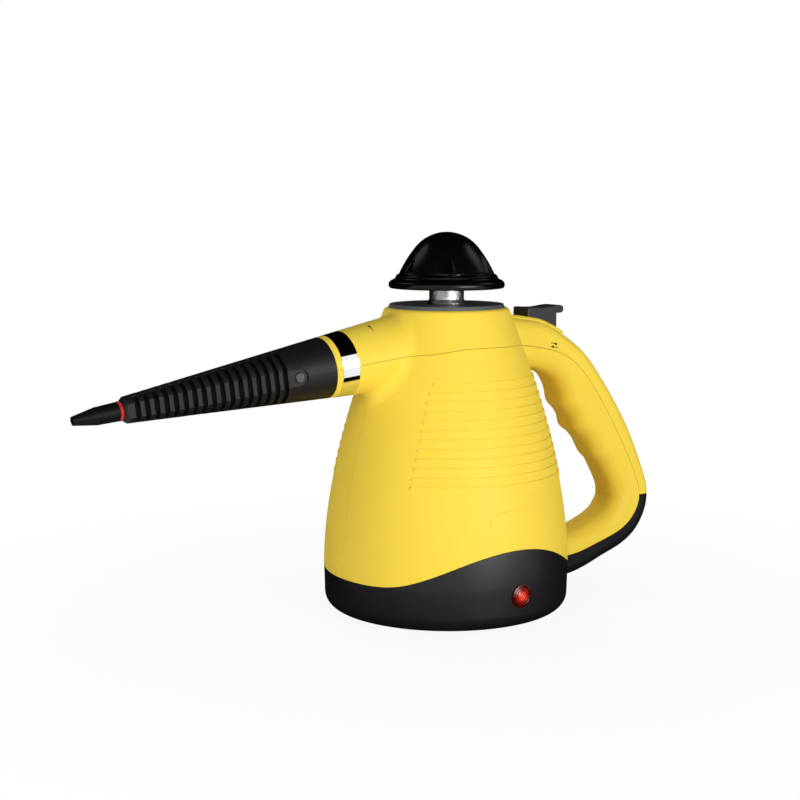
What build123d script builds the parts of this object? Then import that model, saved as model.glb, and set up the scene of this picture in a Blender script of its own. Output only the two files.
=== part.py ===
from build123d import *
import math
import os

# Handheld steam cleaner, in millimetres. The origin is the centre of the base's underside, +Z is up,
# the handle is at +X and the nozzle points to -X. The plane Y = 0 is the plane of symmetry.

# Body: a bell turned round the Z axis
body_radius = 75.3
body_height = 183.4
body_foot_inset = 0.7
base_edge_round = 9.0
shoulder_round = 3.0
wall = 2.5
bell_shares = [(1.0, 0.136), (0.9456, 0.382), (0.8287, 0.600), (0.6813, 0.796), (0.5007, 1.0)]

# Nozzle axis: it leaves the body's axis at this share of the height and drops towards the tip
spout_height_share = 0.8866
spout_drop = 7.05
neck_root = 24.0
neck_blend = 7.0

# Sleeve of the nozzle, along the nozzle axis
sleeve_start = 90.0
sleeve_length = 125.4
sleeve_rear_radius = 17.9
sleeve_front_radius = 7.4
sleeve_chamfer = 2.2
sleeve_wall = 2.5
band_width = 10.4
band_thickness = 0.9
lip_width = 3.6
rib_count = 17
rib_pitch = 5.43
groove_width = 2.7
groove_depth = 2.1
front_land = 5.6
spine_half_width = 3.2
strip_half_width = 4.9
strip_depth = 1.1
button_setback = 22.8
button_radius = 2.9
button_stand = 0.9
button_flange = 1.1
button_travel = 1.5
socket_depth = 16.0
nose_radius = 12.0

# Tip
oring_thickness = 2.3
pipe_radius = 3.2
pipe_bore = 2.0
tip_radius = 5.3
tip_shoulder_radius = 4.9
tip_end_radius = 2.5
tip_length = 25.2
tip_cone = 13.2
tip_outlet = 1.0
tip_seat = 6.5

# Parting lines, as shares of the handle's reach and of the body's height
handle_reach = 158.5
seam_gap = 0.25
seam_samples = 36
handle_shares = [(0.2145, 0.8740), (0.3924, 0.8517), (0.5318, 0.8141), (0.6700, 0.7023), (0.7993, 0.5382),
                 (0.9073, 0.3686), (0.9325, 0.2835), (0.8770, 0.2023), (0.7300, 0.1478), (0.5609, 0.1140),
                 (0.4164, 0.1320)]
seam_start_share = -0.25
seam_shares = [(-0.1136, 0.8790), (0.0631, 0.8812)]
wave_shares = [(0.3091, 0.1734), (0.1489, 0.2339), (-0.0126, 0.2557), (-0.2246, 0.2186), (-0.3722, 0.1576),
               (-0.4700, 0.1365)]
strip_top_share = 0.294

# Handle bar: half width, and depth outside and inside the parting line, along the handle
grip_half_width = 15.0
grip_root_half_width = 17.0
grip_outer = 12.0
grip_inner = 24.0
grip_outer_round = 7.0
grip_inner_round = 11.0
grip_stations = 48
outer_shares = [(0.0, 1.38), (0.11, 1.36), (0.15, 1.18), (0.195, 0.99), (0.31, 0.94), (0.45, 1.0),
                (0.58, 0.88), (0.64, 0.89), (0.71, 1.0), (0.8, 1.02), (0.9, 1.17), (1.0, 1.3)]
inner_shares = [(0.0, 0.58), (0.11, 0.54), (0.195, 0.60), (0.245, 0.735), (0.297, 0.965), (0.373, 1.0),
                (0.471, 0.84), (0.50, 0.74), (0.58, 0.70), (0.64, 0.775), (0.71, 0.71), (0.76, 0.61),
                (0.80, 0.55), (0.9, 0.50), (1.0, 0.50)]
knuckle_shares = [0.195, 0.297, 0.373, 0.471]
finger_depth = 2.0

# Raised seat of the trigger on the handle
seat_height = 1.9
seat_half_width = 11.0
seat_round = 2.5
seat_end_share = 0.172

# Fine ribs and plain oval on the sides of the two body halves
side_rib_count = 12
side_rib_height = 2.65
side_rib_pitch = 5.32
side_rib_stand = 0.6
side_rib_top_share = 0.7737
side_rib_first = -37.0
side_rib_last = -55.5
side_rib_rear = 62.0
oval_length = 41.0
oval_width = 15.0
oval_stand = 0.45
oval_offset = 1.5
oval_height_share = 0.3408
oval_turn = -5.0

# Collar, filler neck and boiler
collar_radius = 35.4
collar_bevel = 0.8
collar_stand = 2.1
collar_spigot_radius = 30.0
collar_spigot_depth = 1.6
neck_radius = 10.6
neck_foot_radius = 11.8
neck_foot_height = 2.5
neck_bore = 8.0
neck_stand = 12.0
neck_land = 3.0
boiler_radius_share = 0.611
boiler_bottom_share = 0.2617
boiler_split_share = 0.5453
boiler_shoulder_share = 0.6107
boiler_crown_share = 0.7416
boiler_wall = 3.5
boiler_round = 8.0
flange_width = 7.0
flange_thickness = 3.5
gasket_thickness = 1.0
flange_screw_count = 6

# Screws
screw_radius = 1.6
screw_head_radius = 3.1
screw_head_height = 2.2

# Heater and its controls, under the boiler
heater_radius_share = 0.565
heater_tube_radius = 3.3
heater_sink = 2.6
heater_sweep = 300.0
heater_end = 9.0
thermostat_radius = 8.0
thermostat_height = 6.5
fuse_radius = 2.2
fuse_length = 14.0
block_length = 22.0
block_width = 9.0

# Posts of the housing
base_post_radius = 5.0
base_post_circle_share = 0.505
base_post_count = 3
body_post_radius = 4.2
body_post_circle_share = 0.77
body_post_top_share = 0.327
body_post_bottom = 10.0
cover_post_angle = 58.0
cover_post_drop = 20.0
cover_post_rise = 12.0
cover_screw_reach = 6.0
post_web = 2.5

# Indicator and cord inlet
lamp_height = 19.7
lens_radius = 6.9
lens_sink = 1.5
lens_stand = 1.0
lens_barrel_radius = 5.8
lens_depth = 6.0
lens_rings = 3
lens_ring_width = 0.5
lens_ring_depth = 0.3
lamp_radius = 2.6
lamp_length = 9.0
gland_angle = 24.0
gland_height = 15.5
gland_radius = 5.0
gland_bore = 3.4
gland_flange = 1.8
gland_sink = 1.0
gland_length = 9.0

# Cap
cap_rim_radius = 35.3
cap_rim_drop = 0.4
cap_rim_rise = 1.9
cap_flange_radius = 30.4
cap_flange_height = 8.7
cap_ledge_height = 7.4
cap_rim_shares = [(0.92, 0.19), (0.56, 0.46), (0.15, 0.72)]
cap_dome_radius = 30.2
cap_dome_power = 1.22
cap_dome_turn = 88.0
cap_dome_root = 3.0
cap_height = 33.8
cap_sections = 12
cap_flute_count = 6
cap_flute_samples = 16
cap_flute_radius = 26.2
cap_flute_fade = 2.0
cap_ridge_share = 0.32
cap_wall = 2.6
cap_cavity_radius = 20.5
cap_cavity_shares = [(1.0, 0.0), (0.86, 0.42), (0.5, 0.76)]
cap_rim_channel = 2.6
cap_travel = 2.5
seal_thickness = 1.4
seal_radius = 11.2
insert_flange_radius = 12.0
insert_flange_height = 2.2
plug_length = 13.0
thread_depth = 0.6
thread_turns = 3
driver_radius = 11.0
driver_height = 3.5
driver_hub_radius = 4.0
driver_hub_height = 9.0
guide_wall = 1.6
cap_spring_radius = 6.6
cap_spring_wire = 0.9
cap_spring_turns = 4
relief_radius = 3.4
relief_height = 3.5

# Trigger, its slide and the valve, placed from the parting line's height under the trigger
trigger_front_share = 0.3621
trigger_length = 23.1
trigger_width = 15.2
trigger_rise = 7.8
trigger_height = 17.2
trigger_dish = 0.5
trigger_lip = 6.2
trigger_lip_round = 2.45
trigger_lip_rise = 0.6
trigger_edge_round = 0.8
trigger_travel = 3.5
lock_travel = 2.0
trigger_spring_radius = 3.2
trigger_spring_wire = 0.7
trigger_spring_turns = 6
trigger_spring_setback = 5.5
pocket_radius = 4.4
pocket_depth = 8.0
guide_gap = 0.3
plate_thickness = 1.6
plate_drop = 1.0
plate_half_width = 12.5
carriage_thickness = 1.8
arm_thickness = 1.8
arm_length = 12.0
valve_setback = 17.4
valve_radius = 5.2
valve_flange_radius = 6.4
valve_hang = 7.7
valve_rise = 3.6
stem_radius = 1.5
stem_head_radius = 2.4
stem_head_height = 1.2
stem_grip = 1.5
tube_radius = 2.3
tube_bore = 1.5
tube_wall = 1.2
tube_bend = 6.0

# Clearances
fit_gap = 0.08
part_gap = 0.3
overrun = 5.0

spout_height = body_height * spout_height_share
spout_cos = math.cos(math.radians(spout_drop))
spout_sin = math.sin(math.radians(spout_drop))
spout = Plane(origin=(0, 0, spout_height), x_dir=(0, -1, 0), z_dir=(-spout_cos, 0, -spout_sin))
sleeve_end = sleeve_start + sleeve_length
lip_start = sleeve_start - part_gap - lip_width
band_start = lip_start - part_gap - band_width
cone_taper = (sleeve_rear_radius - sleeve_front_radius) / (sleeve_length - sleeve_chamfer)
side_room = body_radius + handle_reach
boiler_radius = body_radius * boiler_radius_share
boiler_bottom = body_height * boiler_bottom_share
boiler_split = body_height * boiler_split_share
boiler_shoulder = body_height * boiler_shoulder_share
boiler_crown = body_height * boiler_crown_share
flange_radius = boiler_radius + flange_width
heater_radius = boiler_radius * heater_radius_share
base_post_circle = body_radius * base_post_circle_share
body_post_circle = body_radius * body_post_circle_share
body_post_top = body_height * body_post_top_share
neck_height = body_height + neck_stand
cap_rim_low = neck_height - cap_rim_drop
cap_top = cap_rim_low + cap_height
saddle_height = body_height * handle_shares[1][1]
plate_top = saddle_height - plate_drop
valve_low = plate_top - valve_hang
valve_top = plate_top + valve_rise
trigger_front = handle_reach * trigger_front_share
trigger_bottom = saddle_height + trigger_rise
trigger_top = trigger_bottom + trigger_height


def interpolate(shares, place):
    """Straight-line reading of a table of (place, value) shares."""
    for (low, low_value), (high, high_value) in zip(shares, shares[1:]):
        if place <= high:
            return low_value + (high_value - low_value) * (place - low) / (high - low)
    return shares[-1][1]


def cone_radius(distance):
    """Outer radius of the neck and sleeve at a distance along the nozzle axis."""
    return sleeve_rear_radius + (sleeve_start - distance) * cone_taper


def turned(*edges):
    """Solid turned round the Z axis from a closed half section of edges in (radius, height)."""
    return revolve(Plane.XZ * make_face(Curve() + list(edges)), Axis.Z)


def turned_outline(*points):
    """Solid turned round the Z axis from a closed half section of straight lines."""
    return turned(Polyline(*points, close=True))


def on_spout(part):
    """Place a solid made along Z onto the nozzle axis."""
    return spout.location * part


def slab(face):
    """A side-view face carried through the whole width of the object."""
    return extrude(Plane.XZ * face, amount=side_room, both=True)


def helix_spring(radius, wire, turns, low, high, place):
    """A coil spring on a vertical axis between two heights, as one swept wire."""
    height = high - low - wire
    path = Helix(height / turns, height, radius)
    coil = sweep(Plane(path @ 0, z_dir=path % 0) * Circle(wire / 2), path=path, is_frenet=True)
    return Pos(place[0], place[1], low + wire / 2) * coil


def bell(inset=0.0, floor=0.0, top=0.0):
    """The turned body. Inset, floor and top draw its wall, bottom and shoulder inwards."""
    points = [(body_radius * r - inset, body_height * z) for r, z in bell_shares]
    high = body_height - top
    side = Spline(points[:-1] + [(points[-1][0], high)], tangents=[(0, 1), (-0.36, 1)])
    foot = (body_radius - body_foot_inset - inset, floor)
    outline = [Line((0, floor), foot), Line(foot, points[0]), side,
               Line((points[-1][0], high), (0, high)), Line((0, high), (0, floor))]
    solid = turned(*outline)
    edge = solid.edges().filter_by(GeomType.CIRCLE).sort_by(Axis.Z)
    solid = fillet(edge[0], base_edge_round - inset)
    if not top:
        solid = fillet(solid.edges().filter_by(GeomType.CIRCLE).sort_by(Axis.Z)[-1], shoulder_round)
    return solid


def neck(inset=0.0, start=neck_root, end=sleeve_start - part_gap):
    """Cone of the neck along the nozzle axis."""
    return on_spout(turned_outline((0, start), (cone_radius(start) - inset, start),
                                   (cone_radius(end) - inset, end), (0, end)))


def handle_line():
    """Parting line of the handle, from inside the shoulder round the back to inside the base."""
    return Spline([(handle_reach * x, body_height * z) for x, z in handle_shares])


def finger_dip(place):
    """Depth of the finger grips: a half sine between each two knuckles."""
    for low, high in zip(knuckle_shares[1:], knuckle_shares[2:]):
        if low < place < high:
            return finger_depth * math.sin(math.pi * (place - low) / (high - low))
    return 0.0


def bar_section(plane, outer, inner, half_width, outer_round, inner_round):
    """Rounded section of the handle bar: x points out of the loop, y across the bar."""
    a, b, w = outer, -inner, half_width
    p, q = outer_round, inner_round
    edges = [Line((a, p - w), (a, w - p)),
             RadiusArc((a, w - p), (a - p, w), -p),
             Line((a - p, w), (b + q, w)),
             RadiusArc((b + q, w), (b, w - q), -q),
             Line((b, w - q), (b, q - w)),
             RadiusArc((b, q - w), (b + q, -w), -q),
             Line((b + q, -w), (a - p, -w)),
             RadiusArc((a - p, -w), (a, p - w), -p)]
    return plane * make_face(Curve() + edges)


def handle_bar(inset=0.0, seat=False):
    """The handle as a loft of sections along its parting line, or the trigger's raised seat on it."""
    line = Plane.XZ * handle_line()
    last = seat_end_share if seat else 1.0
    count = grip_stations // 4 if seat else grip_stations
    sections = []
    for step in range(count + 1):
        place = last * step / count
        spot = line.position_at(place * line.length, position_mode=PositionMode.LENGTH)
        way = line.tangent_at(place * line.length, position_mode=PositionMode.LENGTH)
        plane = Plane(origin=spot, x_dir=(-way.Z, 0, way.X), z_dir=way)
        outer = grip_outer * interpolate(outer_shares, place) - inset
        inner = grip_inner * interpolate(inner_shares, place) - finger_dip(place) - inset
        flare = max(0.0, 1.0 - place / seat_end_share)
        width = grip_half_width + (grip_root_half_width - grip_half_width) * flare - inset
        if seat:
            sections.append(bar_section(plane, outer + seat_height, seat_round * 2, seat_half_width,
                                        seat_round, seat_round))
        else:
            inner_round = min(grip_inner_round, grip_inner * 0.48) - inset
            sections.append(bar_section(plane, outer, inner, width, grip_outer_round - inset, inner_round))
    return loft(sections)


def band_groove():
    """Groove of the neck that holds the chrome band."""
    low, high = band_start - part_gap / 2, lip_start - part_gap / 4
    return on_spout(turned_outline((cone_radius(low) - band_thickness, low),
                                   (cone_radius(low) + overrun, low),
                                   (cone_radius(high) + overrun, high),
                                   (cone_radius(high) - band_thickness, high)))


def housing_outside():
    """Outer form of the whole housing: bell, neck, handle and the raised seat of the trigger."""
    body = bell()
    spout_neck = neck()
    joined = body + spout_neck
    blend = [e for e in joined.edges() if e.geom_type != GeomType.CIRCLE and e.center().X < -body_radius / 2]
    joined = fillet(blend, neck_blend)
    return joined + handle_bar() + handle_bar(seat=True)


def housing_inside():
    """Hollow of the housing, one wall in from the outside."""
    hollow = bell(inset=wall, floor=wall, top=wall)
    return hollow + neck(inset=wall, start=0, end=sleeve_start + overrun) + handle_bar(inset=wall)


def moved_out(curve, distance):
    """The curve moved to the left of its run, drawn again through samples of itself."""
    if not distance:
        return curve
    points = []
    for step in range(seam_samples + 1):
        spot = curve @ (step / seam_samples)
        way = curve % (step / seam_samples)
        points.append(spot + Vector(-way.Y, way.X) * distance)
    return Spline(points, tangents=[curve % 0, curve % 1])


def lower_region(grow=0.0):
    """Side view of the yellow lower moulding: between the seam above and the wave of the base."""
    reach = 2 * body_radius
    seam_x = handle_reach * seam_start_share
    start = (seam_x, spout_height + seam_x * spout_sin / spout_cos)
    line = handle_line()
    over = [start] + [(handle_reach * x, body_height * z) for x, z in seam_shares] + [line @ 0]
    under = [line @ 1] + [(handle_reach * x, body_height * z) for x, z in wave_shares]
    seam = moved_out(Spline(over, tangents=[(spout_cos, spout_sin), line % 0]), grow)
    wave = moved_out(Spline(under, tangents=[line % 1, (-1, 0)]), grow)
    back = moved_out(line, grow)
    far_top = (seam @ 0) - Vector(spout_cos, spout_sin) * reach
    far_low = (wave @ 1) - Vector(reach, 0)
    edges = [Line(far_top, seam @ 0), seam, back, wave, Line(wave @ 1, far_low), Line(far_low, far_top)]
    return make_face(Curve() + edges)


def upright(radius, low, high):
    """Cylinder on the Z axis between two heights."""
    return Pos(0, 0, (low + high) / 2) * Cylinder(radius, high - low)


def base_post_places():
    """Places of the three posts of the base that carry the boiler."""
    return list(PolarLocations(base_post_circle, base_post_count, start_angle=60))


def body_post_places():
    """Places of the four screw posts that hold the base to the body's halves."""
    return list(PolarLocations(body_post_circle, 4, start_angle=45))


def seam_height():
    """Height of the seam at the handle's side of the body."""
    return body_height * seam_shares[-1][1]


def bell_radius(height):
    """Outer radius of the bell at a height, read along straight lines between its points."""
    return body_radius * interpolate([(z, r) for r, z in bell_shares], height / body_height)


def cover_post_places():
    """Places of the four screw posts that hold the top cover to the body's halves."""
    circle = bell_radius(seam_height() + cover_post_rise) - wall - screw_radius
    angle = cover_post_angle
    return [Rot(0, 0, turn) * Pos(circle, 0, 0) for turn in (angle, 180 - angle, 180 + angle, -angle)]


def gland_place():
    """Place of the cord inlet in the rear of the base, with its z axis outwards."""
    return Rot(0, 0, gland_angle) * Pos(body_radius, 0, gland_height) * Rot(0, 90, 0)


def lamp_place():
    """Place of the indicator in the side of the base, with its z axis outwards."""
    return Pos(0, -body_radius, lamp_height) * Rot(90, 0, 0)


def side_details():
    """Fine ribs and the plain oval, raised on both sides of the bell, clear of the handle's root."""
    faces = Sketch()
    for index in range(side_rib_count):
        share = index / (side_rib_count - 1)
        front = side_rib_first + (side_rib_last - side_rib_first) * share ** 0.8
        middle = (front + side_rib_rear) / 2
        height = body_height * side_rib_top_share - side_rib_pitch * index
        faces += Pos(middle, height) * SlotOverall(side_rib_rear - front, side_rib_height)
    keep_out = 2 * (grip_root_half_width + part_gap)
    handle_room = Pos(body_radius / 2, 0, body_height / 2) * Box(body_radius, keep_out, body_height)
    core = bell(inset=wall / 2) + handle_room
    ribs = slab(faces) & (bell(inset=-side_rib_stand) - core)
    place = Pos(oval_offset, body_height * oval_height_share) * Rot(0, 0, oval_turn)
    oval = slab(place * Ellipse(oval_length / 2, oval_width / 2)) & (bell(inset=-oval_stand) - core)
    return ribs.solids() + oval.solids()


def trigger_slot():
    """Opening of the top cover for the trigger and its slide."""
    room = trigger_length + lock_travel + 2 * guide_gap
    width = trigger_width + 2 * guide_gap
    middle = trigger_front + (trigger_length + lock_travel) / 2
    return Pos(middle, 0, (trigger_top + plate_top) / 2) * Box(room, width, trigger_top - plate_top)


def bracket_rests(outside):
    """Four upright ribs of the body's halves under the valve's bracket."""
    high = plate_top - plate_thickness
    rests = []
    for x in (trigger_front, trigger_front + trigger_length):
        for side in (-1, 1):
            middle = Pos(x, side * (plate_half_width - wall), (boiler_crown + high) / 2)
            rests.append(outside & middle * Box(2 * wall, wall, high - boiler_crown))
    return rests


def wall_webs(places, low, high):
    """Upright webs from screw posts out to the bell's wall."""
    room = bell(inset=wall / 2)
    web = Pos(body_radius / 2, 0, (low + high) / 2) * Box(body_radius, post_web, high - low)
    return [room & place * web for place in places]


def body_posts():
    """Posts of the body's halves for the base's screws, each with a web to the wall."""
    posts = [place * upright(body_post_radius, body_post_bottom, body_post_top) for place in body_post_places()]
    return posts + wall_webs(body_post_places(), body_height * wave_shares[2][1], body_post_top)


def base_cuts():
    """Holes of the base: screw holes with recesses, the indicator's and the cord inlet's."""
    cuts = []
    for place in body_post_places():
        cuts.append(place * upright(screw_radius + fit_gap, -overrun, body_post_bottom + overrun))
        cuts.append(place * upright(screw_head_radius + part_gap, -overrun, screw_head_height + part_gap))
    cuts.append(lamp_place() * upright(lens_barrel_radius + fit_gap, -4 * wall, overrun))
    cuts.append(lamp_place() * upright(lens_radius + fit_gap, -lens_sink, overrun))
    cuts.append(gland_place() * upright(gland_radius + fit_gap, -4 * wall, overrun))
    cuts.append(gland_place() * upright(gland_radius + gland_flange + fit_gap, -gland_sink, overrun))
    return cuts


def base_moulding(rough):
    """Base cup with the boiler's posts and the bosses of its screws."""
    bosses = [place * upright(body_post_radius, wall / 2, body_post_bottom) for place in body_post_places()]
    posts = []
    for place in base_post_places():
        posts.append(place * (upright(base_post_radius, wall / 2, boiler_bottom)
                              - upright(screw_radius, wall, boiler_bottom)))
    return Part() + rough + bosses + posts - base_cuts()


def cover_moulding(rough, outside, zone):
    """Top cover with its screw posts, the collar's hole and the trigger's opening."""
    low = seam_height()
    posts = []
    cuts = [Pos(0, 0, body_height) * Cylinder(collar_spigot_radius + fit_gap, 4 * wall), trigger_slot()]
    for place in cover_post_places():
        posts.append(outside & (place * upright(body_post_radius, low, low + cover_post_rise) - zone))
        cuts.append(place * upright(screw_radius + fit_gap, low - overrun, low + cover_screw_reach + part_gap))
    return Part() + rough + posts - cuts


def lower_moulding(rough, outside, zone):
    """Both yellow body halves in one: posts, the bracket's rests and the raised side details."""
    high = seam_height()
    low = high - cover_post_drop
    posts = [outside & zone & web for web in wall_webs(cover_post_places(), low, high + overrun)]
    cuts = []
    for place in cover_post_places():
        posts.append(outside & zone & place * upright(body_post_radius, low, high + overrun))
        cuts.append(place * upright(screw_radius + fit_gap, low - overrun, high + overrun))
    for place in body_post_places():
        cuts.append(place * upright(screw_radius, body_post_bottom - overrun, 2 * body_post_bottom + overrun))
    return Part() + rough + posts + body_posts() + bracket_rests(outside) + side_details() - cuts


def body_half(whole, side):
    """One half of the lower moulding, left at -1 and right at 1, short of the plane of symmetry."""
    room = Pos(0, side * (side_room + fit_gap), body_height / 2)
    return whole & room * Box(4 * side_room, 2 * side_room, 2 * body_height)


def housing():
    """The mouldings of the housing: top cover, the two body halves in one, and base cup."""
    outside = housing_outside()
    shell = outside - housing_inside() - band_groove()
    zone = slab(lower_region())
    wide_zone = slab(lower_region(grow=seam_gap))
    step = Pos(handle_reach, 0, body_height * strip_top_share) * Box(body_radius / 2, body_radius, seam_gap)
    rough = (shell - wide_zone - step).solids().sort_by(Axis.Z)
    base = base_moulding(rough[0])
    cover = cover_moulding(rough[-1], outside, wide_zone)
    lower = lower_moulding(shell & zone, outside, zone)
    return cover, lower, base


def collar():
    """Grey disc on the shoulder, with a bevelled edge and a spigot in the cover's hole."""
    top = body_height + collar_stand
    low = body_height - collar_spigot_depth
    bore = neck_foot_radius + part_gap
    return turned_outline((bore, low), (collar_spigot_radius, low), (collar_spigot_radius, body_height),
                          (collar_radius, body_height), (collar_radius - collar_bevel, top), (bore, top))


def flange_screw_places():
    """Places of the boiler's flange screws."""
    return list(PolarLocations(boiler_radius + flange_width / 2, flange_screw_count, start_angle=30))


def heater_height():
    """Height of the heating element's centre line."""
    return boiler_bottom - heater_tube_radius + heater_sink


def boiler_pot():
    """Lower half of the boiler: a cast pot with a flange and a channel for the heater."""
    r, t = boiler_radius, boiler_wall
    low, high = boiler_bottom, boiler_split
    ledge = high - flange_thickness
    pot = turned_outline((0, low), (r, low), (r, ledge), (flange_radius, ledge), (flange_radius, high), (0, high))
    pot = fillet(pot.edges().filter_by(GeomType.CIRCLE).sort_by(Axis.Z)[0], boiler_round)
    pot -= turned_outline((0, low + t), (r - t, low + t), (r - t, high + overrun), (0, high + overrun))
    pot -= Pos(0, 0, heater_height()) * Torus(heater_radius, heater_tube_radius + fit_gap)
    for place in flange_screw_places():
        pot -= place * Pos(0, 0, high) * Cylinder(screw_radius + fit_gap, 4 * flange_thickness)
    return pot


def crown(inset):
    """Arc of the boiler's dome in half section, from the shoulder to the filler neck's seat."""
    start = (boiler_radius - inset, boiler_shoulder)
    finish = (neck_radius + neck_land, boiler_crown - inset)
    return ThreePointArc(start, ((start[0] + finish[0]) * 0.56, (start[1] + finish[1]) / 2 + boiler_radius * 0.09),
                         finish)


def boiler_dome():
    """Upper half of the boiler: dome with flange, seat of the filler neck and steam outlet."""
    low = boiler_split + gasket_thickness
    r, t = boiler_radius, boiler_wall
    outer = crown(0.0)
    dome = turned(Line((0, low), (flange_radius, low)),
                  Line((flange_radius, low), (flange_radius, low + flange_thickness)),
                  Line((flange_radius, low + flange_thickness), (r, low + flange_thickness)),
                  Line((r, low + flange_thickness), outer @ 0),
                  outer,
                  Polyline(outer @ 1, (0, boiler_crown), (0, low)))
    inner = crown(t)
    dome -= turned(Line((0, low - overrun), (r - t, low - overrun)),
                   Line((r - t, low - overrun), inner @ 0),
                   inner,
                   Polyline(inner @ 1, (0, boiler_crown - t), (0, low - overrun)))
    dome -= upright(neck_radius + fit_gap, boiler_shoulder, boiler_crown + overrun)
    outlet = outlet_place()
    dome += outlet * upright(tube_radius + tube_wall, boiler_crown - 2 * t, boiler_crown)
    dome -= outlet * upright(tube_bore, boiler_shoulder, boiler_crown + overrun)
    for place in flange_screw_places():
        dome -= place * Pos(0, 0, low) * Cylinder(screw_radius + fit_gap, 4 * flange_thickness)
    return dome


def filler_neck():
    """Filler neck: a tube with a collar on the boiler's dome and a bead where it leaves the body."""
    low = boiler_crown - boiler_wall
    land = neck_radius + neck_land
    land_top = boiler_crown + boiler_wall
    foot_low = body_height + collar_stand + part_gap
    foot_top = foot_low + neck_foot_height
    return turned_outline((neck_bore, low), (neck_radius, low), (neck_radius, boiler_crown), (land, boiler_crown),
                          (land, land_top), (neck_radius, land_top), (neck_radius, foot_low - neck_foot_height),
                          (neck_foot_radius, foot_low), (neck_radius, foot_top), (neck_radius, neck_height),
                          (neck_bore, neck_height))


def outlet_place():
    """Place of the steam outlet on the boiler's dome, under the inlet tube."""
    return Pos((neck_radius + boiler_radius) * 0.45, valve_radius / 2, 0)


def gasket():
    """Flat ring between the boiler's flanges."""
    ring = turned_outline((boiler_radius - boiler_wall, boiler_split), (flange_radius, boiler_split),
                          (flange_radius, boiler_split + gasket_thickness),
                          (boiler_radius - boiler_wall, boiler_split + gasket_thickness))
    for place in flange_screw_places():
        ring -= place * Pos(0, 0, boiler_split) * Cylinder(screw_radius + fit_gap, 4 * gasket_thickness)
    return ring


def screw(length):
    """Plain screw with its head's underside at zero and its shank along -Z."""
    shank = Pos(0, 0, -length / 2) * Cylinder(screw_radius, length)
    return shank + Pos(0, 0, screw_head_height / 2) * Cylinder(screw_head_radius, screw_head_height)


def flange_screws():
    """Screws of the boiler's flanges."""
    top = boiler_split + gasket_thickness + flange_thickness
    length = 2 * flange_thickness + gasket_thickness
    return Compound([place * Pos(0, 0, top) * screw(length) for place in flange_screw_places()])


def base_screws():
    """Screws from the base's underside up into the body's halves."""
    flip = Rot(180, 0, 0)
    low = screw_head_height + part_gap
    return Compound([place * Pos(0, 0, low) * flip * screw(2 * body_post_bottom) for place in body_post_places()])


def cover_screws():
    """Screws from the posts of the body's halves up into the top cover."""
    low = seam_height() - cover_post_drop
    length = cover_post_drop + cover_screw_reach
    return Compound([place * Pos(0, 0, low) * Rot(180, 0, 0) * screw(length) for place in cover_post_places()])


def heater():
    """Tubular heating element: an open ring in the boiler's underside with two ends turned down."""
    height = heater_height()
    start = (360 - heater_sweep) / 2
    arc = CenterArc((0, 0, height), heater_radius, start, heater_sweep)
    tube = sweep(Plane(arc @ 0, z_dir=arc % 0) * Circle(heater_tube_radius), path=arc)
    for end in (arc @ 0, arc @ 1):
        drop = Pos(end.X, end.Y, end.Z - heater_end / 2)
        tube += drop * Cylinder(heater_tube_radius, heater_end) + Pos(*end) * Sphere(heater_tube_radius)
    return tube


def thermostat():
    """Disc thermostat against the boiler's underside, with two blade terminals."""
    can = Pos(0, 0, boiler_bottom - thermostat_height / 2) * Cylinder(thermostat_radius, thermostat_height)
    blade_length = thermostat_height / 2
    for side in (-1, 1):
        blade = Box(thermostat_radius / 10, thermostat_radius / 2, blade_length)
        can += Pos(side * thermostat_radius / 2, 0, boiler_bottom - thermostat_height - blade_length / 2) * blade
    return can


def thermal_fuse():
    """Thermal fuse lying against the boiler's underside, on a flat clip."""
    pad = fuse_radius / 2
    place = Pos(0, thermostat_radius + 2 * fuse_radius, boiler_bottom - pad - fuse_radius)
    body = place * Rot(0, 90, 0) * Cylinder(fuse_radius, fuse_length)
    clip = Pos(0, thermostat_radius + 2 * fuse_radius, boiler_bottom - pad) * Box(fuse_length / 2,
                                                                                   2 * fuse_radius, 2 * pad)
    return body + clip


def indicator_lens():
    """Red lens: a stepped low dome, and a barrel through the base's wall."""
    outline = [(0, -lens_depth), (lens_barrel_radius, -lens_depth), (lens_barrel_radius, fit_gap - lens_sink),
               (lens_radius, fit_gap - lens_sink), (lens_radius, lens_stand / 3)]
    for ring in range(lens_rings, 0, -1):
        edge = ring * lens_radius / (lens_rings + 1)
        height = lens_stand * (1 - ring / (2 * lens_rings + 2))
        outline.append((edge + lens_ring_width, height))
        outline.append((edge, height - lens_ring_depth))
    outline.append((0, lens_stand))
    return lamp_place() * (turned_outline(*outline) - upright(lamp_radius + part_gap, -lens_depth, -lens_sink))


def indicator_lamp():
    """Neon lamp in the lens's bore, with a round holder behind it."""
    bulb_top = -lens_sink - part_gap
    bulb = Pos(0, 0, bulb_top - lamp_radius - lamp_length / 2) * Cylinder(lamp_radius, lamp_length)
    tip = Pos(0, 0, bulb_top - lamp_radius) * Sphere(lamp_radius)
    holder = Pos(0, 0, -lens_depth - lamp_length / 2) * Cylinder(lens_barrel_radius, lamp_length / 2)
    rim = Pos(0, 0, -lens_depth - lamp_length / 8) * Cylinder(lens_barrel_radius, lamp_length / 4)
    return lamp_place() * (bulb + tip + holder + rim)


def cord_gland():
    """Bush of the cord inlet, empty, with a flange let into the base's wall."""
    bush = upright(gland_radius, -gland_length, 0)
    flange = upright(gland_radius + gland_flange, fit_gap - gland_sink, gland_sink)
    return gland_place() * (bush + flange - upright(gland_bore, -2 * gland_length, overrun))


def terminal_block():
    """Block on the base's floor where the leads join."""
    block = Box(block_length, block_width, block_width)
    for x in (-1, 0, 1):
        block -= Pos(x * block_length / 3, 0, block_width / 2) * Cylinder(block_width / 5, block_width / 2)
    return Pos(body_post_circle, 0, wall + block_width / 2) * Rot(0, 0, 90) * block


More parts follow.
